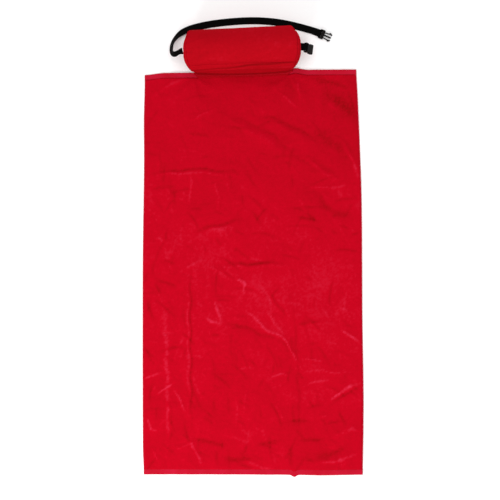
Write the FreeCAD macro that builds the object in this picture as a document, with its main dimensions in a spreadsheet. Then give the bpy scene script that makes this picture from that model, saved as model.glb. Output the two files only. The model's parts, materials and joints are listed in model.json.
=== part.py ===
"""Beach towel with a sewn-on bolster pillow and a webbing carry strap with a side-release buckle.

Frame: millimetres, +Z up.  The origin is the middle of the towel's underside, +X runs across
the towel and +Y towards the pillow.  The towel lies flat, the pillow lies past its head edge,
and the strap lies on the ground behind the pillow.
"""
import FreeCAD, Part

import math
import os

import Sketcher
from FreeCAD import Placement, Rotation, Vector

SIZES = [
    ("towel_width", 750),
    ("towel_length", 1400),
    ("cloth_thickness", 3.5),
    ("hem_thickness", 2.6),
    ("end_hem_width", 20),
    ("side_hem_width", 5),
    ("thread", 0.8),
    ("stitch_inset", 4),
    ("pillow_length", 374),
    ("pillow_radius", 74),
    ("cover_thickness", 2.5),
    ("end_bulge", 13),
    ("seam_bead", 2),
    ("pillow_shift", -31.5),
    ("pillow_reach", 65),
    ("pillow_skew", 1.8),
    ("flange_inset", 17),
    ("stitch_clearance", 0.3),
    ("flange_gap", 7),
    ("fold_axis_gap", 5),
    ("skirt_clearance", 3),
    ("webbing_width", 25),
    ("webbing_thickness", 1.5),
    ("slit_clearance", 0.3),
    ("layer_gap", 0.2),
    ("tack_width", 20),
    ("bar_radius", 1.8),
    ("wrap_clearance", 0.3),
    ("fold_tail", 26),
    ("loop_root", 20),
    ("loop_length", 22),
    ("loop_yaw", 9),
    ("loop_pitch", 10),
    ("loop_row_gap", 2.4),
    ("webbing_side_gap", 0.6),
    ("plug_thickness", 7),
    ("plug_rear", 2),
    ("plug_window", 6),
    ("plug_front", 16),
    ("plug_rail", 2.9),
    ("plug_turn", 23.5),
    ("guide_width", 4.6),
    ("guide_root", 1),
    ("guide_tip", 41.5),
    ("arm_thickness", 4.5),
    ("arm_pivot", 17),
    ("arm_inset", 6.5),
    ("arm_root_half", 1.44),
    ("arm_end_half", 2.56),
    ("arm_hollow", 2),
    ("arm_inner_rise", 0.2),
    ("knuckle_radius", 1.6),
    ("knuckle_clearance", 0.2),
    ("arm_tip", 43),
    ("barb_start", 31.6),
    ("barb_inset", 0.6),
    ("barb_undercut", 0.8),
    ("barb_crest", 4.5),
    ("barb_fall", 0.2),
    ("nose_length", 2.4),
    ("nose_half", 2.6),
    ("nose_chamfer", 1.6),
    ("socket_margin", 1),
    ("socket_thickness", 11),
    ("socket_wall", 1.5),
    ("socket_side_wall", 3.4),
    ("socket_front", 36),
    ("socket_back_wall", 2),
    ("socket_rounding", 2.4),
    ("window_length", 12),
    ("scallop_depth", 3.5),
    ("scallop_radius", 9.6),
    ("socket_pitch", 50),
]

# The plug's webbing bar: its distance from the towel's centre line, and past the head edge.
PLUG_BAR_X = 244.5
PLUG_BAR_PAST_HEAD = 133.0

# The carry strap's route between the pillow's left end and the plug: across, past the head
# edge, up, and the strap's roll about its own run (0 lies flat, 90 stands on edge).
STRAP_ROUTE = [
    (-249.0, 57.5, 74.5, 3),
    (-266.0, 58.0, 66.0, 18),
    (-277.5, 68.0, 52.0, 38),
    (-280.0, 86.0, 36.0, 52),
    (-273.0, 106.0, 24.0, 58),
    (-258.5, 127.0, 16.5, 56),
    (-238.0, 145.5, 12.5, 50),
    (-212.0, 159.0, 9.8, 38),
    (-181.0, 168.5, 6.8, 21),
    (-143.0, 175.5, 3.6, 8),
    (-96.0, 181.5, 1.5, 1.5),
    (-43.0, 186.0, 0.9, 0),
    (12.0, 187.3, 0.8, 0),
    (66.0, 184.2, 0.8, 0),
    (116.0, 177.4, 0.8, 0),
    (163.0, 165.8, 0.9, 0),
    (206.0, 149.7, 1.9, 0),
    (227.1, 140.6, 2.9, 0),
    (238.1, 135.8, 6.3, 0),
]

# The plug and the socket are as wide as the webbing needs, and the arms sit in from their sides.
PLUG_WIDTH = "(sizes.webbing_width + 2 * sizes.webbing_side_gap + 2 * sizes.plug_rail)"
SOCKET_WIDTH = f"({PLUG_WIDTH} + 2 * sizes.socket_margin)"
ARM_OFFSET = f"({PLUG_WIDTH} / 2 - sizes.arm_inset)"
BARB_REACH = f"({PLUG_WIDTH} / 2 - sizes.barb_inset)"

WORLD_UP = Vector(0, 0, 1)
WRAP_STEPS = 10
ARC_STEPS = 4
# Each corner's arc starts this share of the shorter run away from the corner.
ARC_REACH = 0.45

doc = FreeCAD.newDocument("towel_with_pillow")
sheet = doc.addObject("Spreadsheet::Sheet", "sizes")
nodes = []


def fill_sheet():
    """Write every driving size into the sheet, with its name as alias."""
    for row, (alias, value) in enumerate(SIZES, start=1):
        sheet.set(f"A{row}", alias)
        sheet.set(f"B{row}", str(value))
        sheet.setAlias(f"B{row}", alias)
    doc.recompute()


def size(alias):
    """The value of one cell of the sheet."""
    return float(sheet.get(alias))


def bind(obj, **sizes):
    """Tie properties of an object to expressions of the sheet; px, py and pz are its place."""
    places = {"px": "Placement.Base.x", "py": "Placement.Base.y", "pz": "Placement.Base.z"}
    for name, expression in sizes.items():
        obj.setExpression(places.get(name, name), expression)
    return obj


def node(obj, label):
    """Name a finished sub-part after its file."""
    obj.Label = label
    nodes.append(obj)
    return obj


def box(name, length, width, height, px="0", py="0", pz="0"):
    """A box with its lowest corner at a place."""
    solid = doc.addObject("Part::Box", name)
    return bind(solid, Length=length, Width=width, Height=height, px=px, py=py, pz=pz)


def rod(name, radius, height, axis, px="0", py="0", pz="0"):
    """A cylinder that starts at a place and runs along an axis."""
    solid = doc.addObject("Part::Cylinder", name)
    solid.Placement = Placement(Vector(), Rotation(Vector(0, 0, 1), axis))
    return bind(solid, Radius=radius, Height=height, px=px, py=py, pz=pz)


def ball(name, radius, px):
    """A sphere on the X axis."""
    solid = doc.addObject("Part::Sphere", name)
    return bind(solid, Radius=radius, px=px)


def cut(name, base, tool):
    """One solid less another."""
    result = doc.addObject("Part::Cut", name)
    result.Base = base
    result.Tool = tool
    return result


def common(name, shapes):
    """What several solids share."""
    result = doc.addObject("Part::MultiCommon", name)
    result.Shapes = shapes
    return result


def fuse(name, shapes):
    """Several solids as one."""
    result = doc.addObject("Part::MultiFuse", name)
    result.Shapes = shapes
    return result


def head_edge():
    """Where the towel's head edge lies along Y."""
    return size("towel_length") / 2


def pillow_height():
    """The pillow rests on its two end seams, which stand proud of its cover."""
    return size("pillow_radius") + size("seam_bead")


def pillow_place():
    """The placement of the pillow's own frame, whose X axis is the pillow's."""
    centre = Vector(size("pillow_shift"), head_edge() + size("pillow_reach"), pillow_height())
    return Placement(centre, Rotation(WORLD_UP, size("pillow_skew")))


def plug_place():
    """The placement of the plug's frame: its webbing bar, with X towards the plug's nose."""
    height = size("webbing_thickness") + size("wrap_clearance") + size("bar_radius")
    bar = Vector(PLUG_BAR_X, head_edge() + PLUG_BAR_PAST_HEAD, height)
    return Placement(bar, Rotation(WORLD_UP, -size("plug_turn")))


def loop_bar():
    """The socket's webbing bar, in the pillow's frame."""
    root = Vector(size("pillow_length") / 2 + size("end_bulge"), 0, 0)
    return root + loop_turn().multVec(Vector(size("loop_length"), 0, 0))


def loop_turn():
    """How the short strap turns from the pillow's axis to the socket's bar."""
    sideways = Rotation(WORLD_UP, -size("loop_yaw"))
    return sideways.multiply(Rotation(Vector(0, 1, 0), size("loop_pitch")))


def socket_place():
    """The placement of the socket's frame: its webbing bar, with X towards its mouth."""
    sideways = Rotation(WORLD_UP, -size("loop_yaw"))
    turn = sideways.multiply(Rotation(Vector(0, 1, 0), size("socket_pitch")))
    return pillow_place().multiply(Placement(loop_bar(), turn))


def polygon_sketch(body, name, role, points):
    """A closed sketch on one origin plane of a body; each corner is tied to two expressions."""
    sketch = body.newObject("Sketcher::SketchObject", name)
    plane = [item for item in body.Origin.OriginFeatures if item.Role == role][0]
    sketch.AttachmentSupport = [(plane, "")]
    sketch.MapMode = "FlatFace"
    corners = [Vector(sheet_value(x), sheet_value(y), 0) for x, y in points]
    count = len(corners)
    for index, corner in enumerate(corners):
        sketch.addGeometry(Part.LineSegment(corner, corners[(index + 1) % count]))
    for index in range(count):
        sketch.addConstraint(Sketcher.Constraint("Coincident", index, 2, (index + 1) % count, 1))
    for index, pair in enumerate(points):
        for kind, expression in zip(("DistanceX", "DistanceY"), pair):
            value = sheet_value(expression)
            number = sketch.addConstraint(Sketcher.Constraint(kind, -1, 1, index, 1, value))
            sketch.setExpression(f"Constraints[{number}]", expression)
    return sketch


def sheet_value(expression):
    """The value now of an expression of the sheet."""
    return float(sheet.evalExpression(expression))


def circle_sketch(body, name, role, radius, centre):
    """A circle on one origin plane of a body."""
    sketch = body.newObject("Sketcher::SketchObject", name)
    plane = [item for item in body.Origin.OriginFeatures if item.Role == role][0]
    sketch.AttachmentSupport = [(plane, "")]
    sketch.MapMode = "FlatFace"
    middle = Vector(sheet_value(centre[0]), sheet_value(centre[1]), 0)
    sketch.addGeometry(Part.Circle(middle, Vector(0, 0, 1), sheet_value(radius)))
    parts = [("Radius", (0,), radius), ("DistanceX", (-1, 1, 0, 3), centre[0]),
             ("DistanceY", (-1, 1, 0, 3), centre[1])]
    for kind, ends, expression in parts:
        value = sheet_value(expression)
        number = sketch.addConstraint(Sketcher.Constraint(kind, *ends, value))
        sketch.setExpression(f"Constraints[{number}]", expression)
    return sketch


def pad(body, name, sketch, length):
    """Thicken a sketch equally to both sides."""
    feature = body.newObject("PartDesign::Pad", name)
    feature.Profile = sketch
    feature.Midplane = True
    feature.setExpression("Length", length)
    return feature


def pocket(body, name, sketch, length):
    """Cut a sketch equally to both sides."""
    feature = body.newObject("PartDesign::Pocket", name)
    feature.Profile = sketch
    feature.Midplane = True
    feature.setExpression("Length", length)
    return feature


def rectangle(low_x, high_x, low_y, high_y):
    """The corners of an upright rectangle, as pairs of expressions."""
    return [(low_x, low_y), (high_x, low_y), (high_x, high_y), (low_x, high_y)]


def flat_cloth(label, length, width, thickness, px, py, pz="0"):
    """A flat cloth piece as a padded sketch: px and py are its middle, pz its underside."""
    body = doc.addObject("PartDesign::Body", label)
    corners = rectangle(f"-({length}) / 2", f"({length}) / 2", f"-({width}) / 2", f"({width}) / 2")
    outline = polygon_sketch(body, label + "_outline", "XY_Plane", corners)
    feature = body.newObject("PartDesign::Pad", label + "_pad")
    feature.Profile = outline
    feature.setExpression("Length", thickness)
    bind(body, px=px, py=py, pz=pz)
    return node(body, label)


def towel():
    """The cloth and the four hems that wrap its edges."""
    inner_width = "sizes.towel_width - 2 * sizes.side_hem_width"
    inner_length = "sizes.towel_length - 2 * sizes.end_hem_width"
    flat_cloth("towel_cloth", inner_width, inner_length, "sizes.cloth_thickness", "0", "0")
    for label, side in (("top_hem", "1"), ("bottom_hem", "-1")):
        place = f"{side} * (sizes.towel_length - sizes.end_hem_width) / 2"
        flat_cloth(label, "sizes.towel_width", "sizes.end_hem_width", "sizes.hem_thickness",
                   "0", place)
    for label, side in (("left_hem", "-1"), ("right_hem", "1")):
        place = f"{side} * (sizes.towel_width - sizes.side_hem_width) / 2"
        flat_cloth(label, "sizes.side_hem_width", inner_length, "sizes.hem_thickness",
                   place, "0")


def hem_stitching():
    """One row of thread along each hem."""
    end_row = "sizes.towel_width - 2 * sizes.stitch_inset"
    side_row = "sizes.towel_length - 2 * sizes.end_hem_width - 2 * sizes.stitch_inset"
    for label, side in (("top_hem_stitching", "1"), ("bottom_hem_stitching", "-1")):
        place = f"{side} * (sizes.towel_length / 2 - sizes.end_hem_width + sizes.thread)"
        flat_cloth(label, end_row, "sizes.thread", "sizes.thread / 2",
                   "0", place, "sizes.hem_thickness")
    for label, side in (("left_hem_stitching", "-1"), ("right_hem_stitching", "1")):
        place = f"{side} * (sizes.towel_width / 2 - sizes.side_hem_width + sizes.thread)"
        flat_cloth(label, "sizes.thread", side_row, "sizes.thread / 2",
                   place, "0", "sizes.hem_thickness")


def pillow_flange():
    """The cover's flat edge, sewn down on the head hem behind the hem's own row of thread."""
    length = "sizes.pillow_length - 2 * sizes.flange_inset"
    hem_row = "(1.5 * sizes.thread + sizes.stitch_clearance)"
    width = f"(sizes.end_hem_width - sizes.flange_gap - {hem_row})"
    middle = f"sizes.towel_length / 2 - sizes.flange_gap - {width} / 2"
    flat_cloth("pillow_flange", length, width, "sizes.cover_thickness",
               "sizes.pillow_shift", middle, "sizes.hem_thickness")
    row = f"sizes.towel_length / 2 - sizes.flange_gap - {width} + sizes.stitch_inset"
    top = "sizes.hem_thickness + sizes.cover_thickness"
    flat_cloth("flange_stitching", f"{length} - 2 * sizes.stitch_inset", "sizes.thread",
               "sizes.thread / 2", "sizes.pillow_shift", row, top)


DOME = "((sizes.pillow_radius ^ 2 + sizes.end_bulge ^ 2) / (2 * sizes.end_bulge))"
DOME_SHIFT = f"({DOME} - sizes.pillow_length / 2 - sizes.end_bulge)"


def pillow_outside(name):
    """The pillow's whole outer form: a round bolster with two gently domed ends."""
    tube = rod(name + "_tube", "sizes.pillow_radius", "2 * sizes.pillow_length",
               Vector(1, 0, 0), px="-sizes.pillow_length")
    left = ball(name + "_left", DOME, DOME_SHIFT)
    right = ball(name + "_right", DOME, f"-{DOME_SHIFT}")
    return common(name, [tube, left, right])


def pillow_inside(name):
    """The space inside the cover and the end panels."""
    tube = rod(name + "_tube", "sizes.pillow_radius - sizes.cover_thickness",
               "2 * sizes.pillow_length", Vector(1, 0, 0), px="-sizes.pillow_length")
    left = ball(name + "_left", f"{DOME} - sizes.cover_thickness", DOME_SHIFT)
    right = ball(name + "_right", f"{DOME} - sizes.cover_thickness", f"-{DOME_SHIFT}")
    return common(name, [tube, left, right])


def layer_stack(layers):
    """How thick one or two layers of webbing are together."""
    return f"({layers} * sizes.webbing_thickness + {layers - 1} * sizes.layer_gap)"


def webbing_slot(name, layers):
    """A slot along the pillow's axis for one or two layers of webbing, from the middle out."""
    width = "sizes.webbing_width + 2 * sizes.slit_clearance"
    height = f"{layer_stack(layers)} + 2 * sizes.slit_clearance"
    return box(name, "sizes.pillow_length", width, height,
               py=f"-({width}) / 2", pz=f"-({height}) / 2")


def pillow_cover():
    """The velour tube round the filling."""
    outer = rod("cover_outer", "sizes.pillow_radius", "sizes.pillow_length", Vector(1, 0, 0),
                px="-sizes.pillow_length / 2")
    inner = rod("cover_inner", "sizes.pillow_radius - sizes.cover_thickness",
                "sizes.pillow_length", Vector(1, 0, 0), px="-sizes.pillow_length / 2")
    node(cut("cover", outer, inner), "pillow_cover").Placement = pillow_place()


def end_panel(label, side, layers):
    """A domed round panel with a slit for the strap."""
    shell = cut(label + "_shell", pillow_outside(label + "_outside"),
                pillow_inside(label + "_inside"))
    edge = "sizes.pillow_length / 2"
    start = edge if side > 0 else f"-{edge} - 2 * sizes.end_bulge"
    reach = "4 * sizes.pillow_radius"
    zone = box(label + "_zone", "2 * sizes.end_bulge", reach, reach,
               px=start, py=f"-{reach} / 2", pz=f"-{reach} / 2")
    panel = common(label + "_disc", [shell, zone])
    slot = webbing_slot(label + "_slit", layers)
    bind(slot, px="0" if side > 0 else "-sizes.pillow_length")
    bind(slot, Length="sizes.pillow_length")
    node(cut(label + "_solid", panel, slot), label).Placement = pillow_place()


def end_seam(label, side):
    """The raised seam where an end panel meets the cover."""
    ring = doc.addObject("Part::Torus", label + "_ring")
    ring.Placement = Placement(Vector(), Rotation(Vector(0, 0, 1), Vector(1, 0, 0)))
    bind(ring, Radius1="sizes.pillow_radius", Radius2="sizes.seam_bead",
         px=f"{side} * sizes.pillow_length / 2")
    seam = cut(label + "_solid", ring, pillow_outside(label + "_outside"))
    node(seam, label).Placement = pillow_place()


def pillow_filling():
    """The stuffing: it fills the cover and leaves a slot for the webbing that runs through."""
    single = webbing_slot("filling_slot_left", 1)
    bind(single, px="-sizes.pillow_length", Length="2 * sizes.pillow_length")
    double = webbing_slot("filling_slot_right", 2)
    bind(double, px="sizes.pillow_length / 2 + sizes.end_bulge - sizes.loop_root")
    slots = fuse("filling_slots", [single, double])
    filling = cut("filling_solid", pillow_inside("filling_form"), slots)
    node(filling, "pillow_filling").Placement = pillow_place()


def fold_axis():
    """A point on the line that the pillow folds about: the free edge of the sewn flange."""
    height = size("hem_thickness") + size("cover_thickness") / 2
    return Vector(0, head_edge() - size("fold_axis_gap"), height)


def pillow_skirt():
    """The cover's strip between the pillow and the fold line, which carries the pillow."""
    to_pillow = pillow_place().Base - fold_axis()
    rise = math.degrees(math.atan2(to_pillow.z, to_pillow.y))
    strip = doc.addObject("Part::Box", "skirt_strip")
    bind(strip, Length="sizes.pillow_length - 2 * sizes.flange_inset",
         Width="sizes.pillow_radius", Height="sizes.cover_thickness")
    start = Vector(size("pillow_shift") - strip_length() / 2, 0, 0)
    corner = Vector(0, size("skirt_clearance"), -size("cover_thickness") / 2)
    lean = Rotation(Vector(1, 0, 0), rise)
    world = Placement(fold_axis() + start + lean.multVec(corner), lean)
    strip.Placement = pillow_place().inverse().multiply(world)
    skirt = cut("skirt_solid", strip, pillow_outside("skirt_pillow"))
    node(skirt, "pillow_skirt").Placement = pillow_place()


def strip_length():
    """How long the flange and the skirt are."""
    return size("pillow_length") - 2 * size("flange_inset")


def webbing_solid(stations):
    """A flat strap through stations of (centre, direction across, direction of thickness)."""
    half_width = size("webbing_width") / 2
    half_thickness = size("webbing_thickness") / 2
    sections = []
    for centre, across, through in stations:
        side = Vector(across).normalize() * half_width
        face = Vector(through).normalize() * half_thickness
        corners = [centre - side - face, centre + side - face,
                   centre + side + face, centre - side + face]
        sections.append(Part.makePolygon(corners + corners[:1]))
    return Part.makeLoft(sections, True, True)


def webbing_node(label, stations, placement):
    """Make one piece of webbing and place it."""
    feature = doc.addObject("Part::Feature", label + "_solid")
    feature.Shape = webbing_solid(stations)
    feature.Placement = placement
    return node(feature, label)


def inner_strap():
    """The webbing that runs through the pillow and carries the load from end to end."""
    end = size("pillow_length") / 2 + size("end_bulge")
    stations = [(Vector(x, 0, 0), Vector(0, 1, 0), Vector(0, 0, 1))
                for x in (-end, end - size("loop_root"))]
    webbing_node("inner_strap", stations, pillow_place())


def wrap_stations(centre, turn):
    """Half a turn of webbing round a bar, from above it, past its nose side, to below it."""
    radius = size("bar_radius") + size("wrap_clearance") + size("webbing_thickness") / 2
    stations = []
    for step in range(WRAP_STEPS + 1):
        angle = math.pi / 2 - math.pi * step / WRAP_STEPS
        outward = turn.multVec(Vector(math.cos(angle), 0, math.sin(angle)))
        stations.append((centre + outward * radius, turn.multVec(Vector(0, 1, 0)), outward))
    return stations


def strap_end_fold():
    """The strap's end: round the plug's bar and back under itself."""
    stations = wrap_stations(Vector(), Rotation())
    tail = stations[-1][0] - Vector(size("fold_tail"), 0, 0)
    stations.append((tail, Vector(0, 1, 0), Vector(0, 0, -1)))
    webbing_node("strap_end_fold", stations, plug_place())


def short_strap_loop():
    """The short strap: out of the pillow, round the socket's bar and back in, in two layers."""
    end = size("pillow_length") / 2 + size("end_bulge")
    layer = (size("webbing_thickness") + size("layer_gap")) / 2
    across, up, down = Vector(0, 1, 0), Vector(0, 0, 1), Vector(0, 0, -1)
    inner = [end - size("loop_root"), end + layer]
    stations = [(Vector(x, 0, layer), across, up) for x in inner]
    stations += wrap_stations(loop_bar(), loop_turn())
    stations += [(Vector(x, 0, -layer), across, down) for x in reversed(inner)]
    webbing_node("short_strap_loop", stations, pillow_place())


def route_points():
    """The strap's route with its two ends: the slit of the left panel, and the plug's bar."""
    exit_local = Vector(-size("pillow_length") / 2 - size("end_bulge"), 0, 0)
    start = pillow_place().multVec(exit_local)
    above_bar = size("bar_radius") + size("wrap_clearance") + size("webbing_thickness") / 2
    finish = plug_place().multVec(Vector(0, 0, above_bar))
    middle = [Vector(x, head_edge() + y, z) for x, y, z, roll in STRAP_ROUTE]
    rolls = [0] + [roll for x, y, z, roll in STRAP_ROUTE] + [0]
    return [start] + middle + [finish], rolls


def corner_arc(before, corner, after):
    """The tangent arc inside a corner of the route: points along it and its radius."""
    inward = (before - corner)
    outward = (after - corner)
    reach = ARC_REACH * min(inward.Length, outward.Length)
    inward.normalize()
    outward.normalize()
    turn = math.pi - inward.getAngle(outward)
    radius = reach / math.tan(turn / 2)
    start = corner + inward * reach
    finish = corner + outward * reach
    to_centre = (inward + outward).normalize()
    centre = corner + to_centre * math.hypot(reach, radius)
    middle = centre - to_centre * radius
    arc = Part.Arc(start, middle, finish)
    span = arc.LastParameter - arc.FirstParameter
    points = [arc.value(arc.FirstParameter + span * step / ARC_STEPS)
              for step in range(ARC_STEPS + 1)]
    return points, radius, radius * turn


def strap_frame(tangent, roll):
    """Across and through directions of a strap that rolls about its run."""
    level = tangent.cross(WORLD_UP).normalize()
    upward = level.cross(tangent).normalize()
    angle = math.radians(roll)
    across = level * math.cos(angle) + upward * math.sin(angle)
    through = upward * math.cos(angle) - level * math.sin(angle)
    return across, through


def long_strap():
    """The free carry strap: straight runs joined by tangent arcs, with a slowly changing roll."""
    points, rolls = route_points()
    centres = [points[0]]
    turns = [rolls[0]]
    radii = []
    for index in range(1, len(points) - 1):
        arc, radius, _ = corner_arc(*points[index - 1:index + 2])
        radii.append(round(radius))
        for step, point in enumerate(arc):
            share = step / ARC_STEPS - 0.5
            neighbour = rolls[index + 1] if share > 0 else rolls[index - 1]
            turns.append(rolls[index] + (neighbour - rolls[index]) * abs(share) * 2 * ARC_REACH)
            centres.append(point)
    centres.append(points[-1])
    turns.append(rolls[-1])
    stations = []
    for index, (centre, roll) in enumerate(zip(centres, turns)):
        ahead = centres[min(index + 1, len(centres) - 1)]
        behind = centres[max(index - 1, 0)]
        across, through = strap_frame((ahead - behind).normalize(), roll)
        stations.append((centre, across, through))
    stations[0] = (centres[0], pillow_place().Rotation.multVec(Vector(0, -1, 0)), WORLD_UP)
    stations[-1] = (centres[-1], plug_place().Rotation.multVec(Vector(0, -1, 0)), WORLD_UP)
    strap = webbing_node("long_strap", stations, Placement())
    length = sum((b - a).Length for a, b in zip(centres, centres[1:]))
    section = size("webbing_width") * size("webbing_thickness")
    print("strap radii (mm):", radii)
    print("strap length (mm):", round(length, 1),
          "volume over section x length:", round(strap.Shape.Volume / (section * length), 4))


def tack(label, layers, side):
    """Bar tacks on an end panel, above and below the slit that the webbing leaves through."""
    width = "sizes.tack_width"
    half = f"({layer_stack(layers)} / 2 + sizes.slit_clearance)"
    edge = "sizes.pillow_length / 2 + sizes.end_bulge"
    start = edge if side > 0 else f"-({edge}) - sizes.thread"
    rows = []
    for name, low in (("upper", half), ("lower", f"-({half}) - sizes.thread")):
        rows.append(box(f"{label}_{name}", "sizes.thread", width, "sizes.thread",
                        px=start, py=f"-{width} / 2", pz=low))
    node(fuse(label + "_solid", rows), label).Placement = pillow_place()


def fold_stitching():
    """Two rows of thread that sew the strap's folded end down behind the plug."""
    rows = []
    for row in range(2):
        back = f"-sizes.fold_tail + sizes.stitch_inset / 2 + {row} * sizes.stitch_inset"
        rows.append(box(f"fold_row_{row}", "sizes.thread", "sizes.tack_width",
                        "2 * sizes.webbing_thickness",
                        px=back, py="-sizes.tack_width / 2",
                        pz="-sizes.bar_radius - sizes.wrap_clearance - sizes.webbing_thickness / 2"))
    node(fuse("fold_stitching_solid", rows), "fold_stitching").Placement = plug_place()


def loop_stitching():
    """Two rows of thread that hold the short strap's two layers together by the pillow."""
    height = f"({layer_stack(2)} + sizes.thread / 2)"
    rows = []
    for row in range(2):
        out = f"sizes.pillow_length / 2 + sizes.end_bulge + (1 + {row}) * sizes.loop_row_gap"
        rows.append(box(f"loop_row_{row}", "sizes.thread", "sizes.tack_width", height,
                        px=out, py="-sizes.tack_width / 2", pz=f"-{height} / 2"))
    node(fuse("loop_stitching_solid", rows), "loop_stitching").Placement = pillow_place()


def round_edges(body, feature, radius, keep):
    """Fillet the edges of a feature that a test keeps."""
    doc.recompute()
    names = [f"Edge{number}" for number, edge in enumerate(feature.Shape.Edges, start=1)
             if keep(edge)]
    fillet = body.newObject("PartDesign::Fillet", feature.Name + "_fillet")
    fillet.Base = (feature, names)
    fillet.Radius = radius
    doc.recompute()
    return fillet


def along(edge, axis):
    """Whether an edge is a straight line along an axis."""
    if not isinstance(edge.Curve, Part.Line):
        return False
    return abs(edge.Curve.Direction.dot(axis)) > 0.999


def plug_body():
    """The male half's block: rails, webbing bar, cross block, centre guide and hinge seats."""
    body = doc.addObject("PartDesign::Body", "plug")
    half = f"{PLUG_WIDTH} / 2"
    block = polygon_sketch(body, "plug_outline", "XY_Plane",
                           rectangle("-sizes.plug_rear", "sizes.plug_front", f"-{half}", half))
    solid = pad(body, "plug_block", block, "sizes.plug_thickness")
    corner = size("plug_rail")
    round_edges(body, solid, corner, lambda edge: along(edge, WORLD_UP))
    opening = f"({half} - sizes.plug_rail)"
    window = polygon_sketch(body, "plug_window", "XY_Plane",
                            rectangle("-2 * sizes.plug_rear", "sizes.plug_window",
                                      f"-{opening}", opening))
    pocket(body, "plug_window_cut", window, "2 * sizes.plug_thickness")
    bar = circle_sketch(body, "plug_bar", "XZ_Plane", "sizes.bar_radius", ("0", "0"))
    pad(body, "plug_bar_pad", bar, f"{PLUG_WIDTH} - sizes.plug_rail")
    guide_half = "sizes.guide_width / 2"
    guide = polygon_sketch(body, "plug_guide", "XY_Plane", [
        ("sizes.plug_front - sizes.guide_root", f"-{guide_half}"),
        ("sizes.guide_tip - sizes.guide_width / 2", f"-{guide_half}"),
        ("sizes.guide_tip", "-sizes.guide_width / 4"),
        ("sizes.guide_tip", "sizes.guide_width / 4"),
        ("sizes.guide_tip - sizes.guide_width / 2", guide_half),
        ("sizes.plug_front - sizes.guide_root", guide_half)])
    pad(body, "plug_guide_pad", guide, "sizes.arm_thickness")
    for side, sign in (("left", "1"), ("right", "-1")):
        centre = ("sizes.arm_pivot", f"{sign} * {ARM_OFFSET}")
        seat = circle_sketch(body, f"plug_seat_{side}", "XY_Plane",
                             "sizes.knuckle_radius + sizes.knuckle_clearance", centre)
        last = pocket(body, f"plug_seat_{side}_cut", seat, "2 * sizes.plug_thickness")
    body.Tip = last
    body.Placement = plug_place()
    node(body, "plug_body")


def plug_arm(label, sign):
    """A sprung arm: its knuckle, its beam and the barb that the socket's window catches."""
    body = doc.addObject("PartDesign::Body", label)
    inner = f"{ARM_OFFSET} - sizes.knuckle_radius"
    outline = [
        ("sizes.arm_pivot", f"{ARM_OFFSET} + sizes.arm_root_half"),
        ("sizes.barb_start - sizes.barb_undercut", f"{ARM_OFFSET} + sizes.arm_end_half"),
        ("sizes.barb_start", BARB_REACH),
        ("sizes.barb_start + sizes.barb_crest", f"{BARB_REACH} - sizes.barb_fall"),
        ("sizes.arm_tip - sizes.nose_length", f"{ARM_OFFSET} + sizes.nose_half"),
        ("sizes.arm_tip", ARM_OFFSET),
        ("sizes.arm_tip - sizes.nose_chamfer", f"{ARM_OFFSET} - sizes.nose_chamfer"),
        ("sizes.barb_start + sizes.arm_hollow", f"{ARM_OFFSET} + sizes.arm_inner_rise"),
        ("sizes.arm_pivot", inner)]
    points = [(x, f"{sign} * ({y})") for x, y in outline]
    profile = polygon_sketch(body, label + "_profile", "XY_Plane", points)
    pad(body, label + "_beam", profile, "sizes.arm_thickness")
    knuckle = circle_sketch(body, label + "_knuckle", "XY_Plane", "sizes.knuckle_radius",
                            ("sizes.arm_pivot", f"{sign} * {ARM_OFFSET}"))
    pad(body, label + "_knuckle_pad", knuckle, "sizes.arm_thickness")
    body.Placement = plug_place()
    node(body, label)


def buckle_socket():
    """The female half: a hollow shell with a mouth, two side windows and a webbing bar."""
    body = doc.addObject("PartDesign::Body", "socket")
    half = f"{SOCKET_WIDTH} / 2"
    outline = polygon_sketch(body, "socket_outline", "XY_Plane",
                             rectangle("-sizes.plug_rear", "sizes.socket_front",
                                       f"-{half}", half))
    solid = pad(body, "socket_block", outline, "sizes.socket_thickness")
    rounding = size("socket_rounding")
    round_edges(body, solid, rounding,
                lambda edge: along(edge, WORLD_UP) or along(edge, Vector(1, 0, 0)))
    opening = f"({half} - sizes.socket_side_wall)"
    rear = polygon_sketch(body, "socket_rear", "XY_Plane",
                          rectangle("-2 * sizes.plug_rear", "sizes.plug_window",
                                    f"-{opening}", opening))
    pocket(body, "socket_rear_cut", rear, "2 * sizes.socket_thickness")
    back = "sizes.plug_window + sizes.socket_back_wall"
    cavity = polygon_sketch(body, "socket_cavity", "XY_Plane",
                            rectangle(back, "2 * sizes.socket_front", f"-{opening}", opening))
    hollow = "sizes.socket_thickness - 2 * sizes.socket_wall"
    pocket(body, "socket_cavity_cut", cavity, hollow)
    window = polygon_sketch(body, "socket_window", "XY_Plane",
                            rectangle(back, f"{back} + sizes.window_length",
                                      f"-{SOCKET_WIDTH}", SOCKET_WIDTH))
    pocket(body, "socket_window_cut", window, hollow)
    for side, sign in (("left", "1"), ("right", "-1")):
        middle = f"{back} + sizes.window_length / 2"
        centre = (middle, f"{sign} * ({half} - sizes.scallop_depth + sizes.scallop_radius)")
        scallop = circle_sketch(body, f"socket_scallop_{side}", "XY_Plane",
                                "sizes.scallop_radius", centre)
        pocket(body, f"socket_scallop_{side}_cut", scallop, "2 * sizes.socket_thickness")
    bar = circle_sketch(body, "socket_bar", "XZ_Plane", "sizes.bar_radius", ("0", "0"))
    last = pad(body, "socket_bar_pad", bar, f"{SOCKET_WIDTH} - sizes.socket_side_wall")
    body.Tip = last
    body.Placement = socket_place()
    node(body, "buckle_socket")


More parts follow.
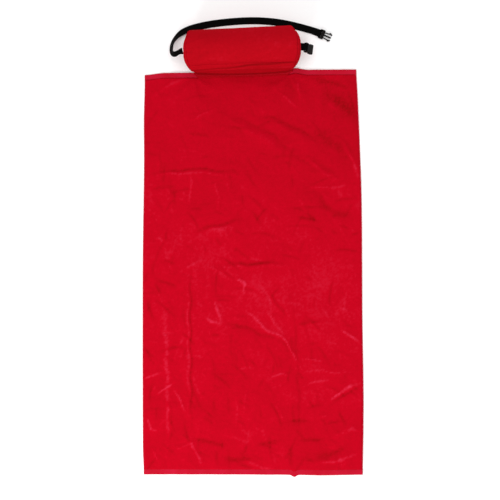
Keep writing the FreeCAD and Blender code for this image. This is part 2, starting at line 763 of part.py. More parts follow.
def build():
    """Make every sub-part."""
    fill_sheet()
    towel()
    hem_stitching()
    pillow_flange()
    pillow_cover()
    end_panel("left_end_panel", -1, 1)
    end_panel("right_end_panel", 1, 2)
    end_seam("left_end_seam", -1)
    end_seam("right_end_seam", 1)
    pillow_filling()
    pillow_skirt()
    inner_strap()
    long_strap()
    strap_end_fold()
    short_strap_loop()
    tack("left_strap_tack", 1, -1)
    tack("right_strap_tack", 2, 1)
    fold_stitching()
    loop_stitching()
    plug_body()
    plug_arm("plug_arm_left", 1)
    plug_arm("plug_arm_right", -1)
    buckle_socket()
    doc.recompute()


def check():
    """Stop if any object failed, or any sub-part is empty, broken or in several pieces."""
    for obj in doc.Objects:
        if "Invalid" in obj.State or "Error" in obj.State:
            raise RuntimeError(f"{obj.Name} failed: {obj.State}")
    for obj in nodes:
        if obj.Shape.isNull() or not obj.Shape.isValid() or not obj.Shape.Solids:
            raise RuntimeError(f"{obj.Label} has no valid solid")


def write():
    """Write each sub-part to its own STEP file."""
    os.makedirs("parts", exist_ok=True)
    for obj in nodes:
        obj.Shape.exportStep(f"parts/{obj.Label}.step")
        box_of = obj.Shape.BoundBox
        print(f"{obj.Label:22s} solids {len(obj.Shape.Solids)} volume {obj.Shape.Volume:11.1f} "
              f"x {box_of.XMin:7.1f}..{box_of.XMax:7.1f} y {box_of.YMin:7.1f}..{box_of.YMax:7.1f} "
              f"z {box_of.ZMin:6.2f}..{box_of.ZMax:6.2f}")
    print("fold axis:", fold_axis(), "plug bar:", plug_place().Base)
    print("arm pivots:", [plug_place().multVec(Vector(size("arm_pivot"), s * sheet_value(ARM_OFFSET), 0))
                          for s in (1, -1)])
    print("socket bar:", socket_place().Base, "across:",
          socket_place().Rotation.multVec(Vector(0, 1, 0)),
          "mouth:", socket_place().Rotation.multVec(Vector(1, 0, 0)))


build()
check()
write()
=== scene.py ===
# %% [markdown]
# # A beach towel with a bolster pillow and a buckled carry strap
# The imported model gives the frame: where every part sits, its size, and how it moves. This lesson dresses
# that frame. Cloth, webbing and moulded plastic are each made as what they are, in the same place and at
# the same size. Every length is in metres, +Z is up, and the towel's underside lies at height zero.

# %% Load the frame
import json
import math

import bmesh
import bpy
import numpy as np
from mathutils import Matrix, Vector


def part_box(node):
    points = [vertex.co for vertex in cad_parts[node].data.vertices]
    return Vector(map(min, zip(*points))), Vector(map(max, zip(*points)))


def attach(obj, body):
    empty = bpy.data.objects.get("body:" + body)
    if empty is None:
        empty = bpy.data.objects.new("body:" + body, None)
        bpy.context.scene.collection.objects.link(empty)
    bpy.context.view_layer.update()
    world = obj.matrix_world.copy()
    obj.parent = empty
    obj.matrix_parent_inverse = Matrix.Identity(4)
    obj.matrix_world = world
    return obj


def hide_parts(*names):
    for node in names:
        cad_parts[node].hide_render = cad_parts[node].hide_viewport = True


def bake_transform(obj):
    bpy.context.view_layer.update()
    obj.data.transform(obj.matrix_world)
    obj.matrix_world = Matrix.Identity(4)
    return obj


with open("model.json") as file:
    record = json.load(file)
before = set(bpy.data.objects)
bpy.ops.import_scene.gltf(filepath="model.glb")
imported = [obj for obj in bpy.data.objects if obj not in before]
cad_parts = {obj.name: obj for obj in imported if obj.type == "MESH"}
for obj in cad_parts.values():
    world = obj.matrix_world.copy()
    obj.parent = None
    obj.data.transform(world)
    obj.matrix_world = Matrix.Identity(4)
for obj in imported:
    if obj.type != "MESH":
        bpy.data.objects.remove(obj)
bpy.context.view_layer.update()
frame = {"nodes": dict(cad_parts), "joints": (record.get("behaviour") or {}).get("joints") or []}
joints = {joint["name"]: joint for joint in frame["joints"]}
MM = 0.001

# %% [markdown]
# ## The camera
# The towel lies on the ground and is looked at from straight above, from about three and a half metres, so
# its sides stay almost parallel. A long lens does that. The camera leans by a degree and a half and is
# turned by a fraction of a degree, as a camera held by hand would be.

# %% Camera
camera_data = bpy.data.cameras.new("camera")
camera_data.sensor_width = 36.0
camera_data.lens = 72.0
camera_data.clip_end = 20.0
camera = bpy.data.objects.new("camera", camera_data)
camera.location = (-0.0057, -0.022, 3.479)
camera.rotation_euler = (math.radians(1.63), 0.0, math.radians(-0.38))
bpy.context.scene.collection.objects.link(camera)
bpy.context.scene.camera = camera
print("camera height:", camera.location.z)

# %% [markdown]
# ## Surfaces from grids
# Most pieces here are a grid of points: rows along one direction, columns along the other. The points are
# worked out with numpy as one array, and the faces only join neighbours. A tube joins its last column to
# its first, and an end cap is one more face. Building by hand in edit mode would work too, but a formula
# can be changed later.


# %% Grid helper
def new_piece(name, points, faces, material):
    """A smooth-shaded mesh object from points and faces, linked to the scene."""
    mesh = bpy.data.meshes.new(name)
    mesh.from_pydata(points.reshape(-1, 3).tolist(), [], faces)
    mesh.polygons.foreach_set("use_smooth", [True] * len(mesh.polygons))
    mesh.materials.append(material)
    piece = bpy.data.objects.new(name, mesh)
    bpy.context.scene.collection.objects.link(piece)
    return piece


def surface(name, points, material, wrap=False, caps=False, uv=None):
    """A piece from a grid of points (rows, columns, 3): faces join each point to the next row and column."""
    rows, columns = points.shape[:2]
    index = np.arange(rows * columns).reshape(rows, columns)
    right = np.roll(index, -1, axis=1)
    last = columns if wrap else columns - 1
    quads = np.stack([index[:-1, :last], right[:-1, :last], right[1:, :last], index[1:, :last]], axis=-1)
    faces = quads.reshape(-1, 4).tolist()
    if caps:
        faces += [index[0, ::-1].tolist(), index[-1].tolist()]
    piece = new_piece(name, points, faces, material)
    if uv is not None:
        corners = np.empty(len(piece.data.loops), dtype=np.int32)
        piece.data.loops.foreach_get("vertex_index", corners)
        layer = piece.data.uv_layers.new(name="UVMap")
        layer.data.foreach_set("uv", uv.reshape(-1, 2)[corners].astype(np.float32).ravel())
    return piece


def face_outward(piece):
    """Turn every face of a closed mesh outward."""
    shell = bmesh.new()
    shell.from_mesh(piece.data)
    bmesh.ops.remove_doubles(shell, verts=shell.verts, dist=1e-6)
    bmesh.ops.recalc_face_normals(shell, faces=shell.faces)
    shell.to_mesh(piece.data)
    shell.free()
    return piece


def bump_curve(value, middle, width):
    """A soft hump: one at the middle, falling to nothing a few widths away."""
    return np.exp(-((value - middle) / width) ** 2)


def smooth_step(value, low, high):
    """Rises from zero at low to one at high, flat at both ends."""
    share = np.clip((value - low) / (high - low), 0.0, 1.0)
    return share * share * (3.0 - 2.0 * share)


def squared(wave, power):
    """A sine or cosine pressed towards one and minus one, which turns a circle into a rounded rectangle."""
    return np.sign(wave) * np.abs(wave) ** power


print("soft step at a quarter, a half, three quarters:", smooth_step(np.array([0.25, 0.5, 0.75]), 0.0, 1.0))

# %% [markdown]
# ## Materials: a few words of set-up
# Colours are given as the hex values that a screen shows, and one function turns them to the linear values
# that the renderer adds up. One more function adds a node with its settings and links, so that each
# material reads as a short list of what goes into what.

# %% Material helpers
def linear(hex_colour):
    """An sRGB hex colour as linear red, green, blue and alpha: each channel goes through the sRGB curve."""
    channels = [int(hex_colour[place:place + 2], 16) / 255.0 for place in (1, 3, 5)]
    curve = [c / 12.92 if c <= 0.04045 else ((c + 0.055) / 1.055) ** 2.4 for c in channels]
    return (*curve, 1.0)


def feed(tree, node, sources):
    """Give each named input of a node a constant of its own, or a link from another node's output."""
    for key, value in sources.items():
        if isinstance(value, bpy.types.NodeSocket):
            tree.links.new(value, node.inputs[key])
        else:
            node.inputs[key].default_value = value


def add(tree, kind, sources=None, **settings):
    """Add one node: settings are its own properties, and sources feed its inputs."""
    made = tree.nodes.new(kind)
    for key, value in settings.items():
        setattr(made, key, value)
    feed(tree, made, sources or {})
    return made


def set_ramp(ramp, stops):
    """Give a colour ramp its stops: a position and a hex colour each."""
    elements = ramp.color_ramp.elements
    while len(elements) < len(stops):
        elements.new(0.5)
    for element, (position, colour) in zip(elements, stops):
        element.position = position
        element.color = linear(colour)
    return ramp.outputs["Color"]


def new_material(name):
    """An empty node material and its shader."""
    material = bpy.data.materials.new(name)
    material.use_nodes = True
    tree = material.node_tree
    tree.nodes.clear()
    shader = add(tree, "ShaderNodeBsdfPrincipled")
    add(tree, "ShaderNodeOutputMaterial", {"Surface": shader.outputs["BSDF"]})
    return material, tree, shader


print("middle grey is linear", round(linear("#808080")[0], 3))

# %% [markdown]
# ## Velour
# The towel's face is cotton velour: terry loops sheared to a soft cut pile. How light it looks depends on
# which way the pile leans. Along a rubbed crease the pile lies over and turns pinker and lighter, and at
# the bottom of a fold it stands close and turns deep red. So each velour mesh carries a nap attribute that
# says how the pile leans, and the same attribute holds painted shade in folds, grooves and seams and
# painted highlights on ridges; the material turns it to colour. Fibre scatters light in every
# direction, so there is almost no gloss: only a faint red bloom at grazing angles, which is the sheen
# layer. Tufts are about 1.3 mm apart, and they are bump, because they are finer than any mesh. A second
# grain of 11 mm is the unevenness of the shearing, and a third, about 17 cm wide, is how the whole face has
# been brushed and laid.


# %% Velour material
BRUSHING = 1.0 / 6.0  # metres


def velour(name, deep_and_shaded, body, rubbed_and_highlit):
    """Cut-pile cotton: the nap attribute, pile lean with painted shade and painted highlights, picks the
    colour, two grains break it up, and tufts are bump.
    """
    material, tree, shader = new_material(name)
    place = add(tree, "ShaderNodeTexCoord").outputs["Object"]
    nap_and_shading = add(tree, "ShaderNodeAttribute", attribute_name="nap_and_shading")
    slow = add(tree, "ShaderNodeTexNoise",
               {"Vector": place, "Scale": 1.0 / BRUSHING, "Detail": 3.0, "Roughness": 0.6})
    shear = add(tree, "ShaderNodeTexNoise", {"Vector": place, "Scale": 1.0 / (11 * MM), "Detail": 3.0})
    # on the ramp, 0.5 is the body colour: the slow grain moves it by 0.17 and the shearing by 0.13 each way
    drift = add(tree, "ShaderNodeMath", {0: slow.outputs["Fac"], 1: 0.34, 2: 0.33}, operation="MULTIPLY_ADD")
    mottle = add(tree, "ShaderNodeMath", {0: shear.outputs["Fac"], 1: 0.26, 2: -0.13},
                 operation="MULTIPLY_ADD")
    lean = add(tree, "ShaderNodeMath", {0: nap_and_shading.outputs["Fac"], 1: 0.5, 2: drift.outputs["Value"]},
               operation="MULTIPLY_ADD")
    both = add(tree, "ShaderNodeMath", {0: lean.outputs["Value"], 1: mottle.outputs["Value"]},
               operation="ADD")
    ramp = add(tree, "ShaderNodeValToRGB", {"Fac": both.outputs["Value"]})
    # the deep end of the ramp is close pile and painted shade, the rubbed end laid-over pile and a painted
    # highlight
    colour = set_ramp(ramp, [(0.0, deep_and_shaded), (0.5, body), (1.0, rubbed_and_highlit)])
    tuft = add(tree, "ShaderNodeTexNoise", {"Vector": place, "Scale": 1.0 / (1.3 * MM), "Detail": 1.0})
    height = add(tree, "ShaderNodeBump",
                 {"Height": tuft.outputs["Fac"], "Strength": 0.5, "Distance": 0.7 * MM})
    soft = add(tree, "ShaderNodeBump", {"Height": shear.outputs["Fac"], "Strength": 0.5, "Distance": 2 * MM,
                                        "Normal": height.outputs["Normal"]})
    feed(tree, shader, {"Base Color": colour, "Normal": soft.outputs["Normal"], "Roughness": 1.0,
                        "Specular IOR Level": 0.01, "Sheen Weight": 0.03, "Sheen Roughness": 0.5,
                        "Sheen Tint": linear("#ff2038")})
    return material


# the first colour serves deep pile and painted shade, the last rubbed pile and painted highlights
red_velour = velour("red_cotton_velour", "#93070f", "#b9051c", "#cd2743")
pillow_velour = velour("red_velour_pillow", "#8a070e", "#ae0817", "#c32038")
print("made", red_velour.name, "and", pillow_velour.name)

# %% [markdown]
# ## Flat-woven hem and thread
# The hem is a cotton band woven flat, without pile, so it is smoother, a little pinker and shows ribs both
# ways. Real ribs are about 2 mm apart. They are drawn twice as coarse here, so that they show. The thread
# is a spun polyester, in the same red for the cloth and in black for the strap: matt, with a slight change
# of tone.


# %% Hem and thread materials
WAVE_REPEAT = 2 * math.pi / 20  # a wave texture of scale 1 repeats at this distance


def woven_hem():
    """A flat band: ribs along the object's two axes over a slow change of tone."""
    material, tree, shader = new_material("flat_woven_hem")
    place = add(tree, "ShaderNodeTexCoord").outputs["Object"]
    slow = add(tree, "ShaderNodeTexNoise", {"Vector": place, "Scale": 16.0, "Detail": 3.0})
    ramp = add(tree, "ShaderNodeValToRGB", {"Fac": slow.outputs["Fac"]})
    ribs, cross = [
        add(tree, "ShaderNodeTexWave",
            {"Vector": place, "Scale": WAVE_REPEAT / spacing, "Distortion": 0.6}, bands_direction=axis)
        for axis, spacing in (("Y", 4.343 * MM), ("X", 3.553 * MM))]
    both = add(tree, "ShaderNodeMath", {0: ribs.outputs["Fac"], 1: cross.outputs["Fac"]}, operation="ADD")
    height = add(tree, "ShaderNodeBump",
                 {"Height": both.outputs["Value"], "Strength": 0.5, "Distance": 0.3 * MM})
    feed(tree, shader, {"Base Color": set_ramp(ramp, [(0.3, "#b00820"), (0.7, "#bc1230")]),
                        "Normal": height.outputs["Normal"], "Roughness": 0.85, "Specular IOR Level": 0.08,
                        "Sheen Weight": 0.03, "Sheen Tint": linear("#ff4058")})
    return material


def spun_thread(name, dark, light):
    """Twisted yarn: two tones in a fine grain."""
    material, tree, shader = new_material(name)
    place = add(tree, "ShaderNodeTexCoord").outputs["Object"]
    grain = add(tree, "ShaderNodeTexNoise", {"Vector": place, "Scale": 1.0 / (0.5 * MM), "Detail": 2.0})
    ramp = add(tree, "ShaderNodeValToRGB", {"Fac": grain.outputs["Fac"]})
    feed(tree, shader, {"Base Color": set_ramp(ramp, [(0.3, dark), (0.7, light)]), "Roughness": 0.8,
                        "Specular IOR Level": 0.1})
    return material


hem_weave = woven_hem()
red_thread = spun_thread("red_polyester_thread", "#a80a20", "#d43048")
black_thread = spun_thread("black_polyester_thread", "#070707", "#1c1b1a")
print("made", hem_weave.name, "and two threads")

# %% [markdown]
# ## Webbing and buckle plastic
# The webbing is woven polypropylene, dyed black in the yarn, with a slanting rib every 1.6 mm. Its ribs run
# with the strap, so they follow the strap's own UV map and not the object's axes. The buckle is moulded
# acetal: almost black, with a low gloss, a trace of mould texture, and slow changes of gloss where it has
# been handled.


# %% Webbing and buckle materials
YARNS_ACROSS = 11.0


def ribbed_webbing():
    """Woven ribs in the strap's own UV map: U runs along in metres, V across from 0 to 1."""
    material, tree, shader = new_material("black_woven_webbing")
    flat = add(tree, "ShaderNodeTexCoord").outputs["UV"]
    parts = add(tree, "ShaderNodeSeparateXYZ", {"Vector": flat})
    along = add(tree, "ShaderNodeMath", {0: parts.outputs["X"], 1: 2 * math.pi / (1.6 * MM)},
                operation="MULTIPLY")
    slant = add(tree, "ShaderNodeMath", {0: parts.outputs["Y"], 1: 2 * math.pi * YARNS_ACROSS},
                operation="MULTIPLY")
    twill = add(tree, "ShaderNodeMath", {0: along.outputs["Value"], 1: slant.outputs["Value"]},
                operation="ADD")
    ridge = add(tree, "ShaderNodeMath", {0: twill.outputs["Value"]}, operation="SINE")
    yarn = add(tree, "ShaderNodeMath", {0: slant.outputs["Value"]}, operation="SINE")
    both = add(tree, "ShaderNodeMath", {0: ridge.outputs["Value"], 1: yarn.outputs["Value"]}, operation="ADD")
    height = add(tree, "ShaderNodeBump",
                 {"Height": both.outputs["Value"], "Strength": 0.6, "Distance": 0.2 * MM})
    fuzz = add(tree, "ShaderNodeTexNoise", {"Vector": flat, "Scale": 60.0, "Detail": 4.0})
    tone = add(tree, "ShaderNodeValToRGB", {"Fac": fuzz.outputs["Fac"]})
    feed(tree, shader, {"Base Color": set_ramp(tone, [(0.3, "#010101"), (0.7, "#060504")]),
                        "Normal": height.outputs["Normal"], "Roughness": 0.8, "Specular IOR Level": 0.05})
    return material


def moulded_acetal():
    """Injection-moulded black plastic: a low gloss broken by a fine mould texture and by handling."""
    material, tree, shader = new_material("moulded_black_acetal")
    place = add(tree, "ShaderNodeTexCoord").outputs["Object"]
    grain = add(tree, "ShaderNodeTexNoise", {"Vector": place, "Scale": 1.0 / (0.6 * MM), "Detail": 3.0})
    slow = add(tree, "ShaderNodeTexNoise", {"Vector": place, "Scale": 1.0 / (9 * MM), "Detail": 2.0})
    tone = add(tree, "ShaderNodeValToRGB", {"Fac": slow.outputs["Fac"]})
    rub = add(tree, "ShaderNodeMapRange", {"Value": slow.outputs["Fac"], "To Min": 0.40, "To Max": 0.58})
    height = add(tree, "ShaderNodeBump",
                 {"Height": grain.outputs["Fac"], "Strength": 0.15, "Distance": 0.1 * MM})
    feed(tree, shader, {"Base Color": set_ramp(tone, [(0.3, "#060403"), (0.7, "#100b08")]),
                        "Normal": height.outputs["Normal"], "Roughness": rub.outputs["Result"],
                        "Specular IOR Level": 0.1})
    return material


webbing = ribbed_webbing()
acetal = moulded_acetal()
print("materials:", len(bpy.data.materials))

# %% [markdown]
# ## The carry strap
# Webbing is a flat cord: it bends easily over its face and hardly at all in its own plane. So where the
# strap leaves the pillow and must turn back along it, it rolls onto its edge, and it settles flat again
# further on. Its centre line is one smooth NURBS curve through the air and along the ground, guided by a
# listed route. Each route point also says how far the strap has rolled there.

# %% Strap route
STRAP_WIDTH = 25 * MM
STRAP_THICKNESS = 1.5 * MM
STRAP_ROUTE = [
    (-0.2314, 0.7587, 0.0760, 0), (-0.2450, 0.7545, 0.0735, 30), (-0.2580, 0.7500, 0.0650, 52),
    (-0.2690, 0.7560, 0.0520, 56), (-0.2735, 0.7750, 0.0360, 56), (-0.2700, 0.7990, 0.0240, 54),
    (-0.2565, 0.8215, 0.0150, 42), (-0.2370, 0.8395, 0.0090, 20), (-0.2110, 0.8515, 0.0040, 7),
    (-0.1800, 0.8605, 0.0018, 1), (-0.1430, 0.8683, 0.0010, 0), (-0.0960, 0.8745, 0.0009, 0),
    (-0.0430, 0.8790, 0.0009, 0), (0.0120, 0.8808, 0.0008, 0), (0.0660, 0.8780, 0.0008, 0),
    (0.1160, 0.8710, 0.0008, 0), (0.1630, 0.8600, 0.0009, 0), (0.2060, 0.8475, 0.0019, 0),
    (0.2271, 0.8406, 0.0029, 0), (0.2381, 0.8358, 0.0063, 0), (0.2445, 0.8330, 0.00645, 0),
]


def smooth_line(name, route, steps=24):
    """The points of one NURBS spline of order 3 whose control points are the route's."""
    curve = bpy.data.curves.new(name, "CURVE")
    curve.dimensions = "3D"
    spline = curve.splines.new("NURBS")
    spline.points.add(len(route) - 1)
    for point, place in zip(spline.points, route):
        point.co = (*place, 1.0)
    spline.order_u = 3
    spline.use_endpoint_u = True
    spline.resolution_u = steps
    holder = bpy.data.objects.new(name, curve)
    line = bpy.data.meshes.new_from_object(holder)
    points = np.array([vertex.co for vertex in line.vertices])
    bpy.data.objects.remove(holder)
    bpy.data.meshes.remove(line)
    return points


def lengths_along(points):
    """Length from the start of a line to each of its points."""
    return np.concatenate([[0.0], np.cumsum(np.linalg.norm(np.diff(points, axis=0), axis=1))])


def unit(vectors):
    """Vectors of length one."""
    return vectors / np.linalg.norm(vectors, axis=-1, keepdims=True)


def webbing_section(count=36):
    """The strap's cross-section: a flat band with rounded, slightly thicker edges, as (across, through)."""
    angle = 2 * math.pi * np.arange(count) / count
    across = squared(np.cos(angle), 0.35)
    through = squared(np.sin(angle), 0.35)
    edge = 1.0 + 0.12 * bump_curve(np.abs(across), 0.93, 0.06)
    return across * STRAP_WIDTH / 2, through * edge * STRAP_THICKNESS / 2


def ribbon(name, line, across, through, narrow=1.0):
    """Carry the webbing's section along a line; every second row stands a hair proud, as woven ribs do."""
    side, face = webbing_section()
    rib = 1.0 + 0.1 * np.cos(np.arange(len(line)) * math.pi)[:, None]
    gather = np.broadcast_to(narrow, len(line))[:, None]
    points = (line[:, None, :] + across[:, None, :] * (side[None, :] * gather)[:, :, None]
              + through[:, None, :] * (face[None, :] * rib)[:, :, None])
    width = np.broadcast_to(side / STRAP_WIDTH + 0.5, points.shape[:2])
    run = np.broadcast_to(lengths_along(line)[:, None], points.shape[:2])
    piece = surface(name, points, webbing, wrap=True, caps=True, uv=np.stack([run, width], axis=-1))
    return face_outward(piece)


print("route points:", len(STRAP_ROUTE))

# %% [markdown]
# ## The strap as one ribbon
# A bevelled curve could carry the section too, but it decides by itself how the band turns. Here each point
# of the centre line gets its own directions: level is sideways along the ground, upward stands on it, and
# the roll turns one towards the other. At the pillow's end the band is gathered to two thirds of its width
# by its seam.

# %% Strap piece
route = np.array(STRAP_ROUTE)
strap_line = smooth_line("strap_line", route[:, :3].tolist())
strap_places = lengths_along(strap_line)
control_places = lengths_along(route[:, :3])
strap_roll = np.interp(strap_places / strap_places[-1], control_places / control_places[-1], route[:, 3])
run_direction = unit(np.gradient(strap_line, axis=0))
level = unit(np.cross(run_direction, [0.0, 0.0, 1.0]))
upward = unit(np.cross(level, run_direction))
roll = np.radians(strap_roll)[:, None]
strap_across = level * np.cos(roll) + upward * np.sin(roll)
strap_through = upward * np.cos(roll) - level * np.sin(roll)
gathered = 1.0 - 0.34 * bump_curve(strap_places, 16 * MM, 14 * MM)  # narrowest 16 mm out of the pillow
long_strap = ribbon("long_strap_webbing", strap_line, strap_across, strap_through, gathered)
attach(long_strap, "pillow")
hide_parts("long_strap")
print("strap length (m):", round(float(strap_places[-1]), 4))

# %% [markdown]
# ## Webbing round a bar
# At each buckle half the webbing goes round a moulded bar and back under itself. Seen from the side that is
# half a circle with two straight legs, so the line is worked out in the bar's own directions: forward to
# the buckle, across along the bar, and up. At the plug the loop is slacker, and fills its window in the
# moulding.

# %% Wrapped ends
BAR_RADIUS = 1.8 * MM
WRAP_GAP = 0.3 * MM
WRAP_RADIUS = BAR_RADIUS + WRAP_GAP + STRAP_THICKNESS / 2
UP = np.array([0.0, 0.0, 1.0])


def wrapped_line(bar, forward, up, first, last, slack=1.0):
    """A line from first, over the bar, half round its far side, and on to last; slack lengthens the turn."""
    angle = np.linspace(math.pi / 2, -math.pi / 2, 17)
    outward = np.cos(angle)[:, None] * forward * slack + np.sin(angle)[:, None] * up
    turn = bar + outward * WRAP_RADIUS
    return np.concatenate([first, turn, last])


def strip_of(name, line, across):
    """A ribbon along a line whose across direction is given at every point."""
    through = unit(np.cross(across, np.gradient(line, axis=0)))
    lengths = lengths_along(line)
    places = np.linspace(0.0, lengths[-1], int(lengths[-1] / (0.8 * MM)))

    def resample(values):
        return np.stack([np.interp(places, lengths, values[:, axis]) for axis in range(3)], axis=1)
    return ribbon(name, resample(line), unit(resample(across)), unit(resample(through)))


plug_bar = np.array(joints["plug_swivel"]["pos_m"])
plug_across = -np.array(joints["plug_swivel"]["axis"])
plug_forward = np.cross(plug_across, UP)
FOLD_LENGTH = 26 * MM
under_bar = plug_bar - UP * WRAP_RADIUS
no_points = np.zeros((0, 3))
fold_line = wrapped_line(plug_bar, plug_forward, UP, no_points,
                         np.linspace(under_bar, under_bar - plug_forward * FOLD_LENGTH, 12)[1:], slack=1.7)
fold = strip_of("strap_end_fold_webbing", fold_line, np.tile(plug_across, (len(fold_line), 1)))
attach(fold, "pillow")
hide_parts("strap_end_fold")

pillow_turn = math.radians(1.8)  # the bolster is sewn on slightly askew
pillow_axis = np.array([math.cos(pillow_turn), math.sin(pillow_turn), 0.0])
pillow_side = np.array([-math.sin(pillow_turn), math.cos(pillow_turn), 0.0])
left_box, right_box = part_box("left_end_panel"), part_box("right_end_panel")
pillow_centre = (np.array(left_box[0]) + np.array(right_box[1])) / 2
print("pillow centre:", np.round(pillow_centre, 4))

socket_bar = np.array(joints["socket_swivel"]["pos_m"])
socket_across = np.array(joints["socket_swivel"]["axis"])
pillow_end = pillow_centre + pillow_axis * 200 * MM
toward_bar = unit(socket_bar - pillow_end)
loop_up = np.cross(toward_bar, socket_across)
layer_up = UP * 0.85 * MM
inside, mouth = pillow_end - pillow_axis * 12 * MM, pillow_end + pillow_axis * 1.5 * MM
upper = np.linspace(inside + layer_up, mouth + layer_up, 8)
lower = np.linspace(mouth - layer_up, inside - layer_up, 8)
loop_line = wrapped_line(socket_bar, toward_bar, loop_up, upper, lower)
at_bar = np.ones(len(loop_line) - len(upper) - len(lower))
share = np.concatenate([np.zeros(len(upper)), at_bar, np.zeros(len(lower))])[:, None]
loop_across = unit(pillow_side * (1 - share) + socket_across * share)
short_loop = strip_of("short_strap_webbing", loop_line, loop_across)
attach(short_loop, "pillow")
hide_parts("short_strap_loop")
print("webbing round the bars (m):", round(float(lengths_along(fold_line)[-1]), 4),
      round(float(lengths_along(loop_line)[-1]), 4))

# %% [markdown]
# ## The towel's outline
# A towel on the ground is never quite a rectangle. Four short functions say where its edges run: each gives
# the place of one edge for every place along it. The cloth, the hems and the stitches all read the same
# functions, so they stay together.

# %% Towel outline
HALF_WIDTH = 375 * MM
HALF_LENGTH = 700 * MM
END_HEM = 20 * MM
SIDE_HEM = 5 * MM
CLOTH_TOP = 3.5 * MM
MEAN_RISE = 1.0 * MM  # creased cloth stands this much above where it would lie if it were pressed
LOWEST_FACE = -0.3 * MM  # the face never lies further below CLOTH_TOP than this


def left_edge(y):
    """Across position of the left edge: it leans out a little towards the foot."""
    lean = -5 * MM * smooth_step(-y, -HALF_LENGTH, HALF_LENGTH * 0.6) + 5.5 * MM * smooth_step(y, 0.5, 0.7)
    return -HALF_WIDTH + lean + 3.6 * MM * bump_curve(y, 0.40, 0.22) + 3 * MM * smooth_step(-y, 0.6, 0.7)


def right_edge(y):
    """Across position of the right edge: drawn in at the head, bowed out below the middle."""
    bow = 8 * MM * np.cos(np.clip((y + 0.12) / 0.82, -1, 1) * math.pi / 2)
    waves = 4.4 * MM * bump_curve(y, 0.33, 0.3) + 3.2 * MM * bump_curve(y, -0.46, 0.2)
    return HALF_WIDTH - 4 * MM * smooth_step(y, 0.1, 0.7) - 1.5 * MM * smooth_step(y, 0.6, 0.7) + bow + waves


def head_edge(x):
    """Along position of the head edge: a dropped left corner and a lift beside the pillow's right end."""
    corner = -7 * MM * smooth_step(-x, 0.30, 0.375)
    lift = 8 * MM * smooth_step(x, -0.2, 0.15) + 6 * MM * bump_curve(x, 0.158, 0.024)
    return HALF_LENGTH - 2 * MM + corner + lift


def foot_edge(x):
    """Along position of the foot edge: a slight rise to the left, and a small tuck on the right."""
    tuck = -7 * MM * bump_curve(x, 0.143, 0.009) - 1.5 * MM * bump_curve(x, 0.24, 0.06)
    return -HALF_LENGTH - 2.8 * MM + 6 * MM * smooth_step(-x, -0.375, 0.375) + tuck


head_corners = [round(float(head_edge(x)), 4) for x in (-HALF_WIDTH, HALF_WIDTH)]
print("head edge's left and right corner (m):", head_corners)
